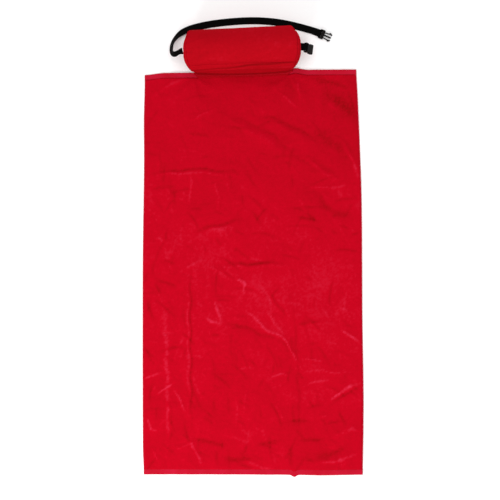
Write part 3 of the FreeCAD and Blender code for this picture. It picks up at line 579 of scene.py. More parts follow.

# %% [markdown]
# ## Creases
# Folding and carrying leave creases: broad diagonal folds on the head half, sideways and upright lines
# where the towel was folded into a packet, and thin rubbed lines where the pile has worn. They could be
# painted in an image, but then they would cast no shade. Here each is a short chain of points. Its height
# and its nap fall off with the distance from that chain, as a bell curve, and fade at both ends. Its nap
# is partly the pile's lean and partly painted light: a painted highlight along a ridge and painted shade
# along a groove.

# %% Creases
# Each crease: the points it runs through (x, y), its width and height in mm, and how far the pile leans on it
# together with painted light (more than nothing: a ridge, rubbed and light with a painted highlight; less
# than
# nothing: a groove, deep and dark with painted shade).
CREASES = [
    # long diagonal folds of the head half
    (((-0.09, 0.54), (-0.02, 0.50), (0.07, 0.452), (0.13, 0.37)), 11, 3.4, 0.12),
    (((-0.06, 0.548), (0.0, 0.518), (0.085, 0.47), (0.15, 0.40)), 9, 2.0, -0.3),
    (((0.04, 0.54), (0.145, 0.49), (0.23, 0.42)), 9, 2.8, 0.1),
    (((0.03, 0.558), (0.113, 0.522), (0.18, 0.487), (0.26, 0.425)), 8, 2.0, -0.36),
    (((0.21, 0.50), (0.30, 0.44), (0.36, 0.395)), 20, 1.5, -0.28),
    (((0.18, 0.415), (0.25, 0.365), (0.32, 0.33)), 12, 1.5, -0.22),
    (((0.09, 0.63), (0.17, 0.57)), 5, 1.2, 0.45),
    (((0.21, 0.68), (0.265, 0.665), (0.35, 0.64)), 10, 2.2, -0.5),
    (((0.25, 0.63), (0.31, 0.595), (0.377, 0.525)), 17, 3.6, -0.5),
    (((0.26, 0.60), (0.31, 0.56)), 7, 1.8, 0.3),
    (((0.167, 0.674), (0.172, 0.594)), 5, 1.0, 0.35),
    (((0.32, 0.445), (0.356, 0.38), (0.38, 0.31)), 7, 2.4, 0.5),
    (((0.19, 0.39), (0.30, 0.315)), 8, 2.4, 0.3),
    (((0.13, 0.42), (0.22, 0.36), (0.28, 0.35)), 9, 1.8, -0.25),
    (((-0.02, 0.60), (0.06, 0.55)), 9, 1.6, 0.15),
    # sideways folds, where the towel was folded into a packet
    (((-0.365, 0.348), (-0.30, 0.35), (-0.21, 0.362), (-0.02, 0.348)), 6, 2.2, -0.5),
    (((-0.36, 0.338), (-0.22, 0.348), (-0.05, 0.338)), 6, 1.4, 0.3),
    (((-0.22, 0.487), (-0.14, 0.471)), 6, 1.6, -0.4),
    (((-0.21, 0.53), (-0.16, 0.555), (-0.115, 0.567)), 5, 1.4, 0.35),
    (((-0.21, 0.135), (-0.155, 0.156), (-0.02, 0.188)), 8, 2.6, -0.5),
    (((-0.16, 0.14), (-0.06, 0.165)), 9, 1.8, 0.25),
    (((-0.125, 0.017), (0.0, 0.02), (0.155, 0.023)), 7, 1.8, 0.15),
    (((-0.125, 0.028), (0.02, 0.03), (0.13, 0.032)), 7, 1.2, -0.35),
    (((0.20, 0.29), (0.345, 0.298)), 5, 1.0, 0.35),
    (((0.21, 0.284), (0.29, 0.20), (0.375, 0.194)), 13, 3.0, -0.4),
    (((-0.237, 0.017), (-0.156, 0.044)), 5, 1.6, 0.3),
    # upright creases
    (((-0.21, 0.348), (-0.212, 0.231)), 5, 1.0, 0.35),
    (((-0.125, 0.338), (-0.113, 0.21)), 6, 1.2, 0.2),
    (((-0.016, 0.37), (0.005, 0.316), (0.032, 0.284)), 7, 1.8, -0.35),
    (((-0.324, 0.13), (-0.307, 0.108)), 4, 1.0, 0.5),
    (((-0.36, 0.605), (-0.264, 0.664), (-0.194, 0.688)), 7, 1.4, 0.2),
    (((-0.211, 0.08), (-0.213, -0.15), (-0.211, -0.30), (-0.211, -0.577)), 5, 1.6, -0.6),
    (((-0.221, 0.02), (-0.222, -0.30), (-0.220, -0.57)), 6, 0.8, 0.25),
    (((0.145, -0.10), (0.158, -0.35), (0.165, -0.58)), 6, 1.0, -0.35),
    (((-0.309, -0.085), (-0.300, -0.20), (-0.296, -0.336), (-0.291, -0.523), (-0.301, -0.684)), 9, 0.7, 0.45),
    # thin rubbed creases of the foot half, lighter from rubbed pile and a painted highlight
    (((-0.063, -0.021), (-0.038, -0.028), (-0.021, -0.043), (-0.029, -0.085)), 4, 1.8, 0.85),
    (((-0.127, -0.085), (-0.118, -0.14), (-0.105, -0.182)), 4, 1.4, 0.7),
    (((-0.164, -0.155), (-0.14, -0.175), (-0.105, -0.182)), 4, 1.2, 0.8),
    (((-0.105, -0.166), (-0.02, -0.192), (0.085, -0.24)), 7, 2.4, -0.45),
    (((-0.052, -0.115), (0.0, -0.15), (0.043, -0.192), (0.122, -0.24), (0.165, -0.331), (0.186, -0.374)),
     4, 1.8, 0.6),
    (((0.043, -0.128), (0.09, -0.19), (0.112, -0.23)), 4, 1.2, 0.45),
    (((0.302, -0.198), (0.335, -0.225), (0.377, -0.243)), 4, 1.6, 0.9),
    (((0.191, -0.39), (0.276, -0.371)), 4, 1.2, 0.5),
    (((0.26, -0.449), (0.30, -0.425), (0.334, -0.40), (0.379, -0.384)), 5, 2.2, 0.85),
    (((0.27, -0.462), (0.34, -0.415), (0.379, -0.398)), 6, 1.4, -0.45),
    (((-0.376, -0.373), (-0.34, -0.355), (-0.312, -0.342)), 4, 1.4, 0.7),
    (((-0.333, -0.422), (-0.264, -0.382)), 4, 1.4, 0.6),
    (((-0.275, -0.395), (-0.248, -0.449), (-0.227, -0.491)), 4, 1.6, 0.7),
    (((-0.217, -0.555), (-0.21, -0.60), (-0.185, -0.641), (-0.174, -0.678)), 5, 1.8, 0.6),
    (((-0.37, -0.502), (-0.354, -0.539), (-0.328, -0.545)), 4, 1.4, 0.7),
    (((-0.35, -0.60), (-0.33, -0.655)), 4, 1.2, 0.5),
    (((0.059, -0.363), (0.10, -0.355), (0.133, -0.363)), 4, 1.0, 0.5),
    (((0.17, -0.304), (0.26, -0.312)), 4, 0.8, 0.35),
    (((0.165, -0.342), (0.361, -0.352)), 4, 0.8, 0.3),
    # low folds near the foot hem
    (((-0.206, -0.577), (-0.14, -0.59), (-0.084, -0.598)), 9, 2.4, -0.55),
    (((-0.105, -0.641), (0.011, -0.651)), 10, 2.4, -0.5),
    (((0.016, -0.593), (0.101, -0.593)), 8, 2.2, -0.5),
    (((0.159, -0.587), (0.255, -0.577)), 8, 2.2, -0.5),
    (((0.207, -0.651), (0.334, -0.603)), 11, 3.0, -0.5),
    (((0.212, -0.667), (0.30, -0.65), (0.377, -0.63)), 7, 2.2, 0.4),
    (((0.122, -0.593), (0.138, -0.678)), 8, 2.4, -0.4),
    (((-0.052, -0.645), (0.03, -0.675), (0.085, -0.678)), 7, 1.8, 0.3),
    (((0.28, -0.58), (0.34, -0.545), (0.37, -0.55)), 8, 2.2, 0.35),
]


def line_distance(x, y, points):
    """Distance to a chain of points, and the share of its length at the nearest place."""
    steps = [math.hypot(b[0] - a[0], b[1] - a[1]) for a, b in zip(points, points[1:])]
    nearest = np.full(x.shape, 9.0)
    share = np.zeros_like(x)
    before = 0.0
    for (x0, y0), (x1, y1), step in zip(points, points[1:], steps):
        along = np.clip(((x - x0) * (x1 - x0) + (y - y0) * (y1 - y0)) / step ** 2, 0.0, 1.0)
        away = np.hypot(x - x0 - along * (x1 - x0), y - y0 - along * (y1 - y0))
        closer = away < nearest
        nearest = np.where(closer, away, nearest)
        share = np.where(closer, (before + along * step) / sum(steps), share)
        before += step
    return nearest, share


def crease_field(x, y):
    """Height and nap of every crease: a soft ridge or groove across its line that fades at both ends. The nap
    is a painted highlight on a ridge and painted shade in a groove, over the pile's lean.
    """
    x = x + 3 * MM * np.sin(y * 61.0 + 1.7 * np.sin(x * 37.0))
    y = y + 3 * MM * np.sin(x * 53.0 + 1.3 * np.sin(y * 41.0))
    height, nap_and_shading = np.zeros_like(x), np.zeros_like(x)
    for points, width, rise, lean in CREASES:
        away, share = line_distance(x, y, points)
        ends = smooth_step(share, -0.02, 0.3) * smooth_step(1 - share, -0.02, 0.35)
        ridge = np.exp(-(away / (1.5 * width * MM)) ** 1.5) * ends
        # a crease with lean above nothing is a ridge with rubbed pile and a painted highlight; below nothing,
        # a groove with painted shade
        height += rise * MM * ridge * (1.0 if lean > 0 else -0.6)
        nap_and_shading += lean * np.exp(-(away / (0.8 * width * MM)) ** 2) * ends
    return height, nap_and_shading


print("creases placed by hand:", len(CREASES))

# %% [markdown]
# ## Swells, small creases and puckers
# Between the placed creases the cloth still moves: slow swells, many short creases from a seeded draw,
# puckers where the end hems draw the cloth in, and folds that fan out from the pillow's seam. The sum of
# them all is the height of the cloth's face. It is damped at the towel's border, where the hems hold the
# cloth down.


# %% Cloth relief
def small_creases(x, y):
    """Many short creases from a seeded draw: slanting on the right, upright on the left, sideways between."""
    draw = np.random.default_rng(11)
    height, nap_and_shading = np.zeros_like(x), np.zeros_like(x)
    for _ in range(460):
        cx, cy = draw.uniform(-0.37, 0.37), draw.uniform(-0.68, 0.67)
        slant = math.radians(-48 + 25 * draw.standard_normal())
        upright = math.radians(90 + 22 * draw.standard_normal())
        sideways = math.radians(12 * draw.standard_normal())
        choice = draw.random()
        turn = slant if choice < 0.3 + 0.5 * (cx + 0.37) else (upright if choice < 0.78 else sideways)
        run, width = draw.uniform(0.012, 0.045), draw.uniform(3.2, 5.6) * MM
        # the small creases' lean is mostly below nothing: painted shade along their lines, with a little
        # rubbed pile
        rise, lean = draw.uniform(-1.0, 1.0) * MM, draw.uniform(-0.5, 0.24)
        ahead = (x - cx) * math.cos(turn) + (y - cy) * math.sin(turn)
        aside = (y - cy) * math.cos(turn) - (x - cx) * math.sin(turn) + 2.2 * ahead * ahead
        shape = np.exp(-(aside / width) ** 2 - (ahead / run) ** 4)
        height += rise * shape
        nap_and_shading += lean * shape
    return height, nap_and_shading


def rumple(x, y):
    """Slow swells: a few long sine waves that cross each other at odd angles."""
    waves = np.zeros_like(x)
    for turn, length, rise, phase in ((0.7, 0.31, 0.9, 0.4), (2.2, 0.23, 0.8, 1.9), (1.2, 0.17, 0.6, 4.0),
                                      (2.8, 0.12, 0.45, 2.6), (0.3, 0.083, 0.3, 0.9)):
        bend = 0.8 * np.sin(2.3 * x / length + 1.9 * y / length)
        ahead = (x * math.cos(turn) + y * math.sin(turn)) / length
        waves += rise * MM * np.sin(2 * math.pi * ahead + phase + bend)
    return waves


def puckers(x, y):
    """Short waves along the end hems, where the stitching draws the cloth together."""
    inner, outer = HALF_LENGTH - 75 * MM, HALF_LENGTH - END_HEM
    near_head, near_foot = smooth_step(y, inner, outer), smooth_step(-y, inner, outer)
    wave = np.sin(x * 95.0 + 2.0 * np.sin(x * 21.0)) + 0.6 * np.sin(x * 57.0 + 1.3)
    return 0.6 * MM * wave * (near_head + near_foot)


def pillow_pull(x, y):
    """Folds that fan out from the two ends of the pillow's seam."""
    height = np.zeros_like(x)
    for end, side in ((-0.20, -1.0), (0.14, 1.0)):
        reach = np.hypot(x - end, y - 0.685)
        angle = np.arctan2(0.685 - y, (x - end) * side)
        height += 1.7 * MM * np.sin(angle * 8.0) * bump_curve(reach, 0.065, 0.045) * (y < 0.69)
    return height


def cloth_field(x, y):
    """Height of the cloth's face above the ground, and its nap, which carries painted shade and highlights.
    The cloth settles at the towel's border.
    """
    border = np.minimum(HALF_WIDTH - np.abs(x), HALF_LENGTH - np.abs(y))
    free = 0.35 + 0.65 * smooth_step(border, 0.0, 0.05)
    ridges, lean = crease_field(x, y)
    small, small_lean_and_shading = small_creases(x, y)
    height = rumple(x, y) + puckers(x, y) + pillow_pull(x, y) + ridges + small
    height = np.maximum(height * free + MEAN_RISE, LOWEST_FACE)
    # painted shade over the head half, the foot end and the head's right corner, and a slightly darker left
    # side below the middle
    painted_shade_and_tone = (-0.16 * smooth_step(y, -0.1, 0.6) - 0.12 * smooth_step(-y, 0.1, 0.6)
            - 0.15 * smooth_step(x, 0.1, 0.3) * smooth_step(y, 0.25, 0.5)
            - 0.05 * smooth_step(-x, 0.21, 0.33) * (y < 0.1))
    calmer_head = 1.0 - 0.4 * smooth_step(y, 0.2, 0.4)
    return CLOTH_TOP + height, lean + small_lean_and_shading * calmer_head + painted_shade_and_tone


def cloth_height(x, y):
    """Only the height of the cloth's face."""
    return cloth_field(x, y)[0]


def towel_place(s, t):
    """Where the share s across and t along the towel lies on the ground."""
    y = (2 * t - 1) * HALF_LENGTH
    x = left_edge(y) + (right_edge(y) - left_edge(y)) * s
    y = foot_edge(x) + (head_edge(x) - foot_edge(x)) * t
    return x, y


print("face height in the middle (mm):", round(float(cloth_height(np.zeros(1), np.zeros(1))[0]) / MM, 2))

# %% [markdown]
# ## The towel's cloth
# The velour is one sheet. A cloth simulation would drape it, but it would put the creases where it likes,
# so the grid is raised by the functions above and then given its thickness. The grid stops under the hems,
# which hide its border. Each vertex also gets its own small change of nap, as no two tufts are cut quite
# alike.


# %% Towel cloth
def set_nap_and_shading(piece, nap_and_shading):
    """Store how the pile leans as an attribute of each vertex."""
    layer = piece.data.attributes.new("nap_and_shading", "FLOAT", "POINT")
    layer.data.foreach_set("value", nap_and_shading.astype(np.float32).ravel())


def cloth_sheet(rows=304, columns=160):
    """The face of the towel inside its hems: a grid over the shares s and t, raised to the cloth's height."""
    s_margin = 0.75 * SIDE_HEM / (2 * HALF_WIDTH)
    t_margin = 0.9 * END_HEM / (2 * HALF_LENGTH)
    t, s = np.meshgrid(np.linspace(t_margin, 1 - t_margin, rows),
                       np.linspace(s_margin, 1 - s_margin, columns), indexing="ij")
    x, y = towel_place(s, t)
    height, nap_and_shading = cloth_field(x, y)
    speck = np.random.default_rng(5).random(nap_and_shading.shape)
    return np.stack([x, y, height], axis=-1), nap_and_shading * (0.5 + speck) + 0.16 * (speck - 0.5)


cloth_points, cloth_nap_and_shading = cloth_sheet()
towel = surface("towel_velour", cloth_points, red_velour)
set_nap_and_shading(towel, cloth_nap_and_shading)
thickness = towel.modifiers.new("cloth_thickness", "SOLIDIFY")
thickness.thickness = 3.0 * MM
thickness.offset = -1.0
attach(towel, "towel")
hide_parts("towel_cloth")
print("towel quads:", len(towel.data.polygons))

# %% [markdown]
# ## Hems
# Each hem is the woven border folded over twice and sewn down. Across the hem that is a flat band with
# rounded sides, so one cross-section is carried along the edge, from the towel's outline to the hem's depth
# inside it.


# %% Hems
HEM_THICKNESS = 2.5 * MM
HEM_MIDDLE = 1.45 * MM  # height of the band's middle where the cloth beside it lies at CLOTH_TOP
HEM_START = 0.0143  # a side hem starts and ends this share of the towel's length in, beside the end hems


def band(name, start, finish):
    """A flat band along an edge: start and finish give its outer and inner border for each share along it."""
    share = np.linspace(0.0, 1.0, 260)
    outer_x, outer_y = start(share)
    inner_x, inner_y = finish(share)
    angle = np.linspace(0, 2 * math.pi, 20, endpoint=False)
    across = 0.5 - 0.5 * squared(np.cos(angle), 0.4)
    lift = squared(np.sin(angle), 0.5) * HEM_THICKNESS / 2
    x = outer_x[:, None] + (inner_x - outer_x)[:, None] * across
    y = outer_y[:, None] + (inner_y - outer_y)[:, None] * across
    middle = cloth_height(inner_x, inner_y)[:, None] - CLOTH_TOP + HEM_MIDDLE + 0 * across
    points = np.stack([x, y, np.maximum(middle, HEM_THICKNESS / 2) + lift], axis=-1)
    return face_outward(surface(name, points, hem_weave, wrap=True, caps=True))


def border_line(edge, inset):
    """A function of the share along one edge of the towel that gives a line set in from it."""
    def line(share):
        along = inset / (2 * HALF_LENGTH)
        across = inset / (2 * HALF_WIDTH)
        if edge == "head":
            return towel_place(share, 1 - along + 0 * share)
        if edge == "foot":
            return towel_place(share, along + 0 * share)
        along_side = HEM_START + (1 - 2 * HEM_START) * share
        return towel_place((across if edge == "left" else 1 - across) + 0 * share, along_side)
    return line


for edge, node, depth in (("head", "top_hem", END_HEM), ("foot", "bottom_hem", END_HEM),
                          ("left", "left_hem", SIDE_HEM), ("right", "right_hem", SIDE_HEM)):
    piece = band(node + "_band", border_line(edge, 0.0), border_line(edge, depth))
    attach(piece, "towel")
    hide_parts(node)

# %% [markdown]
# ## Stitches
# A row of stitches could be a texture, but from the side it would be flat. Here each stitch is a real short
# piece of thread: a small bent capsule that dips into the cloth at both ends. All the stitches of a row are
# worked out at once, as an array of stitches, rings and sides, and become one mesh.


# %% Stitch rows
def stitch_row(name, line, pitch, length, width, material, body, node):
    """A row of stitches along a line of points (n, 3): each is a bent capsule of 8 rings of 6 points."""
    lengths = lengths_along(line)
    starts = np.arange(pitch / 2, lengths[-1] - length, pitch)
    ring = np.linspace(0.0, 1.0, 8)
    places = starts[:, None] + ring[None, :] * length
    middle = np.stack([np.interp(places, lengths, line[:, axis]) for axis in range(3)], axis=-1)
    middle[..., 2] += width * (0.9 * np.sin(math.pi * ring) - 0.45)[None, :]
    thick = width / 2 * np.sqrt(np.clip(1 - (2 * ring - 1) ** 4, 0.02, 1))
    ahead = unit(np.gradient(middle, axis=1))
    side = unit(np.cross(ahead, [0.0, 0.0, 1.0]))
    top = np.cross(side, ahead)
    angle = np.linspace(0, 2 * math.pi, 6, endpoint=False)
    points = (middle[:, :, None, :] + (side[:, :, None, :] * np.cos(angle)[None, None, :, None]
              + top[:, :, None, :] * np.sin(angle)[None, None, :, None]) * thick[None, :, None, None])
    return row_mesh(name, points, material, body, node)


def row_mesh(name, points, material, body, node):
    """Join every stitch of a row into one mesh: side faces between rings, and a cap at each end."""
    stitches, rings, sides = points.shape[:3]
    index = np.arange(stitches * rings * sides).reshape(stitches, rings, sides)
    ahead = np.roll(index, -1, axis=2)
    quads = np.stack([index[:, :-1], ahead[:, :-1], ahead[:, 1:], index[:, 1:]], axis=-1).reshape(-1, 4)
    faces = quads.tolist() + index[:, 0, ::-1].tolist() + index[:, -1].tolist()
    piece = face_outward(new_piece(name, points, faces, material))
    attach(piece, body)
    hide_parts(node)
    return piece


def seam_line(edge, depth, inset):
    """Points along a hem's stitching, on its upper face: inset is their distance from the towel's edge."""
    share = np.linspace(0.004, 0.996, 400)
    x, y = border_line(edge, inset)(share)
    middle = cloth_height(*border_line(edge, depth)(share)) - CLOTH_TOP + HEM_MIDDLE
    return np.stack([x, y, np.maximum(middle, HEM_THICKNESS / 2) + HEM_THICKNESS / 2], axis=-1)


STITCH_PITCH = 4.2 * MM
THREAD_WIDTH = 0.9 * MM
for edge, node, depth, from_inside in (("head", "top_hem_stitching", END_HEM, 3 * MM),
                                       ("foot", "bottom_hem_stitching", END_HEM, 3 * MM),
                                       ("left", "left_hem_stitching", SIDE_HEM, 1.5 * MM),
                                       ("right", "right_hem_stitching", SIDE_HEM, 1.5 * MM)):
    row = stitch_row(node + "_row", seam_line(edge, depth, depth - from_inside), STITCH_PITCH, 3.3 * MM,
                     THREAD_WIDTH, red_thread, "towel", node)
    print(row.name, "faces:", len(row.data.polygons))

# %% [markdown]
# ## The bolster pillow
# The pillow is a velour tube with two round end panels, stuffed with loose fibre. Stuffing pushes cloth
# outward everywhere at once, which is what a cloth simulation with air pressure does. The form starts as a
# slightly small bolster, is remeshed evenly, blown up for twenty steps, and held to a few millimetres of
# travel. The wrinkles that the seams pull into the cloth are added afterwards, because the simulation
# would smooth them out.

# %% Pillow form
PILLOW_RADIUS = 74 * MM
SEAM_TO_SEAM = 374 * MM
END_BULGE = 13 * MM


def to_world(local):
    """From the pillow's own frame (along, across, up) to the row's."""
    return (pillow_centre + local[..., :1] * pillow_axis + local[..., 1:2] * pillow_side
            + local[..., 2:3] * UP)


def to_pillow(points):
    """From the row's frame to the pillow's own."""
    offset = points - pillow_centre
    return np.stack([offset @ pillow_axis, offset @ pillow_side, offset[..., 2]], axis=-1)


def bolster(shrink, rings=72, sides=96):
    """A surface of revolution: a straight tube, a rounded shoulder and a gently domed end on each side."""
    half = SEAM_TO_SEAM / 2 - shrink
    radius = PILLOW_RADIUS - shrink
    share = np.linspace(-1.0, 1.0, rings)
    straight = 0.78  # this share of the rings makes the tube, and the rest make the two ends
    beyond = np.clip((np.abs(share) - straight) / (1 - straight), 0.0, 1.0)
    along = np.sign(share) * (half * np.minimum(np.abs(share) / straight, 1.0))
    along = along + np.sign(share) * END_BULGE * np.sin(beyond * math.pi / 2)
    reach = radius * np.cos(beyond * math.pi / 2) ** 0.55
    reach = np.maximum(reach - 0.5 * MM * np.abs(share) ** 5, 0.2 * MM)[:, None]
    angle = np.linspace(0, 2 * math.pi, sides, endpoint=False)
    local = np.stack([along[:, None] + 0 * angle, reach * np.cos(angle), reach * np.sin(angle)], axis=-1)
    return to_world(local)


def apply_modifiers(piece):
    """Replace a piece's mesh by what its modifiers make of it, and drop them."""
    graph = bpy.context.evaluated_depsgraph_get()
    result = bpy.data.meshes.new_from_object(piece.evaluated_get(graph))
    piece.modifiers.clear()
    piece.data = result
    return piece


def vertex_array(piece, kind="co"):
    """The places of a piece's vertices as an array, or with kind "normal" their normals."""
    values = np.empty(len(piece.data.vertices) * 3)
    piece.data.vertices.foreach_get(kind, values)
    return values.reshape(-1, 3)


def set_vertices(piece, places):
    """Write an array back as a piece's vertices."""
    piece.data.vertices.foreach_set("co", places.astype(np.float32).ravel())
    piece.data.update()


def inflate(piece, pressure, cap):
    """Blow a closed cloth up with air pressure for twenty steps; no vertex travels further than the cap."""
    start = vertex_array(piece)
    cloth = piece.modifiers.new("stuffing", "CLOTH")
    cloth.settings.use_pressure = True
    cloth.settings.uniform_pressure_force = pressure
    cloth.settings.effector_weights.gravity = 0.0
    cloth.point_cache.frame_start = 1
    cloth.point_cache.frame_end = 20
    for step in range(1, 21):
        bpy.context.scene.frame_set(step)
    apply_modifiers(piece)
    bpy.context.scene.frame_set(1)
    travel = vertex_array(piece) - start
    distance = np.linalg.norm(travel, axis=1, keepdims=True)
    set_vertices(piece, start + travel * np.minimum(1.0, cap / np.maximum(distance, 1e-9)))
    return float(distance.max())


pillow = face_outward(surface("pillow_velour_bolster", bolster(4 * MM), pillow_velour, wrap=True, caps=True))
remesh = pillow.modifiers.new("even_mesh", "REMESH")
remesh.mode = "VOXEL"
remesh.voxel_size = 5 * MM
apply_modifiers(pillow)
print("stuffed, largest travel (mm):", round(inflate(pillow, 4.0, 6 * MM) / MM, 1))
finer = pillow.modifiers.new("finer", "SUBSURF")
finer.levels = 1
finer.render_levels = 1
apply_modifiers(pillow)
print("pillow points:", len(pillow.data.vertices))

# %% [markdown]
# ## Wrinkles and drawn-in ends
# The stuffed form now gets what its sewing does to it. The left end is a little thinner than the right, and
# on the foot side both ends are drawn in, because the cover is sewn down there along a shorter line. A
# shallow groove runs round each end seam, short puckers run in from it, and a few long wrinkles cross the
# face. Each is a formula in the pillow's own frame, added along the surface's normals.

# %% Pillow wrinkles
PILLOW_WRINKLES = [
    # place along and angle (degrees from the foot side, up and over) of both ends, width in m, height in mm
    (-0.18, 38, -0.02, 62, 0.010, 1.8), (-0.10, 44, 0.06, 40, 0.008, 1.5),
    (0.01, 46, 0.12, 76, 0.012, 1.6), (0.04, 38, 0.17, 52, 0.008, 1.8),
    (-0.16, 72, -0.05, 96, 0.013, 1.1), (0.08, 94, 0.17, 80, 0.011, 1.2),
    (-0.15, 52, -0.09, 84, 0.007, -1.2), (0.05, 60, 0.11, 96, 0.008, -1.0),
    (-0.05, 120, 0.10, 140, 0.014, 1.0), (-0.15, 170, 0.05, 200, 0.014, 1.2),
    (0.05, 215, 0.17, 190, 0.012, 1.2), (0.13, 60, 0.18, 96, 0.007, 1.4),
    (-0.185, 96, -0.12, 110, 0.008, 1.2),
]


def seam_groove(along):
    """Depth of the groove at each end seam."""
    return -1.6 * MM * sum(bump_curve(along, end * SEAM_TO_SEAM / 2, 3.5 * MM) for end in (1, -1))


def seam_puckers(along, angle):
    """Short folds that run in from each end seam and fade within six centimetres."""
    from_seam = SEAM_TO_SEAM / 2 - np.abs(along)
    fade = np.where(from_seam > 0, np.exp(-from_seam / (22 * MM)), np.exp(from_seam / (14 * MM)))
    wave = np.sin(angle * 23.0 + 1.5 * np.sin(angle * 5.0))
    wave = wave + 0.7 * np.sin(angle * 14.0 + np.sign(along) * 1.1)
    return 0.7 * MM * wave * fade


def wrinkle_height(along, angle, wrinkle):
    """A ridge between two points of the unrolled cover, with a shallow dip beside it."""
    a0, d0, a1, d1, width, rise = wrinkle
    around = angle * PILLOW_RADIUS
    r0, r1 = math.radians(d0) * PILLOW_RADIUS, math.radians(d1) * PILLOW_RADIUS
    run = math.hypot(a1 - a0, r1 - r0)
    ahead = ((along - a0) * (a1 - a0) + (around - r0) * (r1 - r0)) / run
    aside = ((along - a0) * (r1 - r0) - (around - r0) * (a1 - a0)) / run
    ends = smooth_step(ahead, -0.01, 0.35 * run) * smooth_step(run - ahead, -0.01, 0.35 * run)
    ridge = np.exp(-np.abs(aside / width) ** 1.5) - 0.3 * bump_curve(aside, 2 * width, width)
    return rise * MM * ridge * ends


def draw_in(local):
    """Move the ends inward on the foot side, where the cover is sewn down, and on the rounder head side."""
    half = SEAM_TO_SEAM / 2 + END_BULGE
    head = local[..., 1] / PILLOW_RADIUS
    foot = -head
    left = 12 * MM * smooth_step(foot, 0.35, 1.0) + 10 * MM * smooth_step(head, 0.0, 0.8)
    right = 13 * MM * smooth_step(foot, 0.3, 1.05) + 20 * MM * smooth_step(head, 0.15, 1.0) - 7.5 * MM
    share = np.clip(np.abs(local[..., 0]) / half, 0.0, 1.0) ** 2
    moved = local.copy()
    moved[..., 0] += np.where(local[..., 0] < 0, left, -right) * share
    return moved


def turned(angle):
    """Angles from the foot side, up and over, without a jump on the sides that show."""
    return np.where(angle < math.radians(-60), angle + 2 * math.pi, angle)


def shape_pillow(piece):
    """Taper, groove, pucker and wrinkle the stuffed form, draw its ends in, and keep it off the ground."""
    local = to_pillow(vertex_array(piece))
    along = local[:, 0].copy()
    local[:, 1:] *= (1.0 + 0.028 * along / (SEAM_TO_SEAM / 2))[:, None]
    angle = turned(np.arctan2(local[:, 2], -local[:, 1]))
    relief = sum(wrinkle_height(along, angle, wrinkle) for wrinkle in PILLOW_WRINKLES)
    height = seam_groove(along) + seam_puckers(along, angle) + relief
    near_pole = smooth_step(np.hypot(local[:, 1], local[:, 2]), 10 * MM, 30 * MM)
    set_vertices(piece, to_world(local))
    raised = to_pillow(vertex_array(piece) + vertex_array(piece, "normal") * (height * near_pole)[:, None])
    measured = np.stack([along, turned(np.arctan2(raised[:, 2], -raised[:, 1])),
                         np.hypot(raised[:, 1], raised[:, 2])], axis=-1)
    places = to_world(draw_in(raised))
    floor, soft = 0.8 * MM, 3 * MM
    low = places[:, 2] < floor + soft
    places[low, 2] = floor + soft * np.exp((places[low, 2] - floor - soft) / soft)
    set_vertices(piece, places)
    # the nap gets a painted highlight on each wrinkle ridge and painted shade in the seam grooves, over a
    # slightly darker tone
    set_nap_and_shading(piece, relief * near_pole / MM * 0.07 + seam_groove(along) / MM * 0.2 - 0.12)
    return measured


cover_measured = shape_pillow(pillow)
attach(pillow, "pillow")
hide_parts("pillow_cover", "left_end_panel", "right_end_panel", "pillow_filling", "inner_strap")
print("pillow shaped, mean radius (mm):", round(float(np.median(cover_measured[:, 2])) / MM, 1))


def cover_radius(along, angle):
    """Radius of the shaped cover at places on it: the mean of the measured points close by."""
    tube = cover_measured[cover_measured[:, 2] > 50 * MM][::4]
    near, batch = 5 * MM, 256
    result = np.empty(along.size)
    for start in range(0, along.size, batch):
        part = slice(start, start + batch)
        gap_along = along.ravel()[part, None] - tube[None, :, 0]
        gap_angle = (angle.ravel()[part, None] - tube[None, :, 1] + math.pi) % (2 * math.pi) - math.pi
        weight = np.exp(-(gap_along / near) ** 2 - (gap_angle * PILLOW_RADIUS / near) ** 2) + 1e-12
        result[part] = (weight * tube[None, :, 2]).sum(1) / weight.sum(1)
    return result.reshape(along.shape)


# %% [markdown]
# ## End seams
# Where a round panel meets the tube, the two edges are sewn together inside and show as a low roll of
# cloth. The roll follows the pillow's shaped surface, so its path is measured: at even angles round the
# seam, the cover's radius is the mean over its points close by.


# %% End seam rolls
def seam_roll(name, station, node):
    """A thin roll round one end: a circle of 10 points carried round the measured cover, slightly pinched."""
    angle = np.linspace(0, 2 * math.pi, 120, endpoint=False)
    radius = cover_radius(station + 0 * angle, angle)
    pinch = 1.0 + 0.1 * np.sin(angle * 46.0)
    ring = np.linspace(0, 2 * math.pi, 10, endpoint=False)
    roll_radius = 1.9 * MM * pinch
    reach = (radius + 0.2 * MM)[:, None] + roll_radius[:, None] * np.cos(ring)
    along = station + roll_radius[:, None] * np.sin(ring)
    local = np.stack([along, -reach * np.cos(angle)[:, None], reach * np.sin(angle)[:, None]], axis=-1)
    places = to_world(draw_in(np.concatenate([local, local[:1]], axis=0)))
    places[..., 2] = np.maximum(places[..., 2], 0.3 * MM)
    piece = face_outward(surface(name, places, pillow_velour, wrap=True))
    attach(piece, "pillow")
    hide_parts(node)
    return piece


left_roll = seam_roll("left_end_seam_roll", -SEAM_TO_SEAM / 2, "left_end_seam")
right_roll = seam_roll("right_end_seam_roll", SEAM_TO_SEAM / 2, "right_end_seam")
print("end seams:", left_roll.name, right_roll.name)

# %% [markdown]
# ## Flange and apron
# The cover's free edge lies flat on the head hem and is sewn down. From that seam the cloth rises, hugs the
# pillow's foot side and ends in a seam a third of the way up. It is the hinge that the pillow folds about.
# Its upper rows follow the cover's measured radius, and its lower rows are one smooth curve to the hem.

# %% Flange
# angles are round the pillow's axis, from its foot side and upward
APRON_TOP = math.radians(33)
APRON_FOOT = math.radians(-12)
APRON_HALF = 185 * MM
SEWN_LINE = 692.5 * MM  # along place of the seam on the hem, below the middle of the pillow
SEWN_HEIGHT = 6.2 * MM


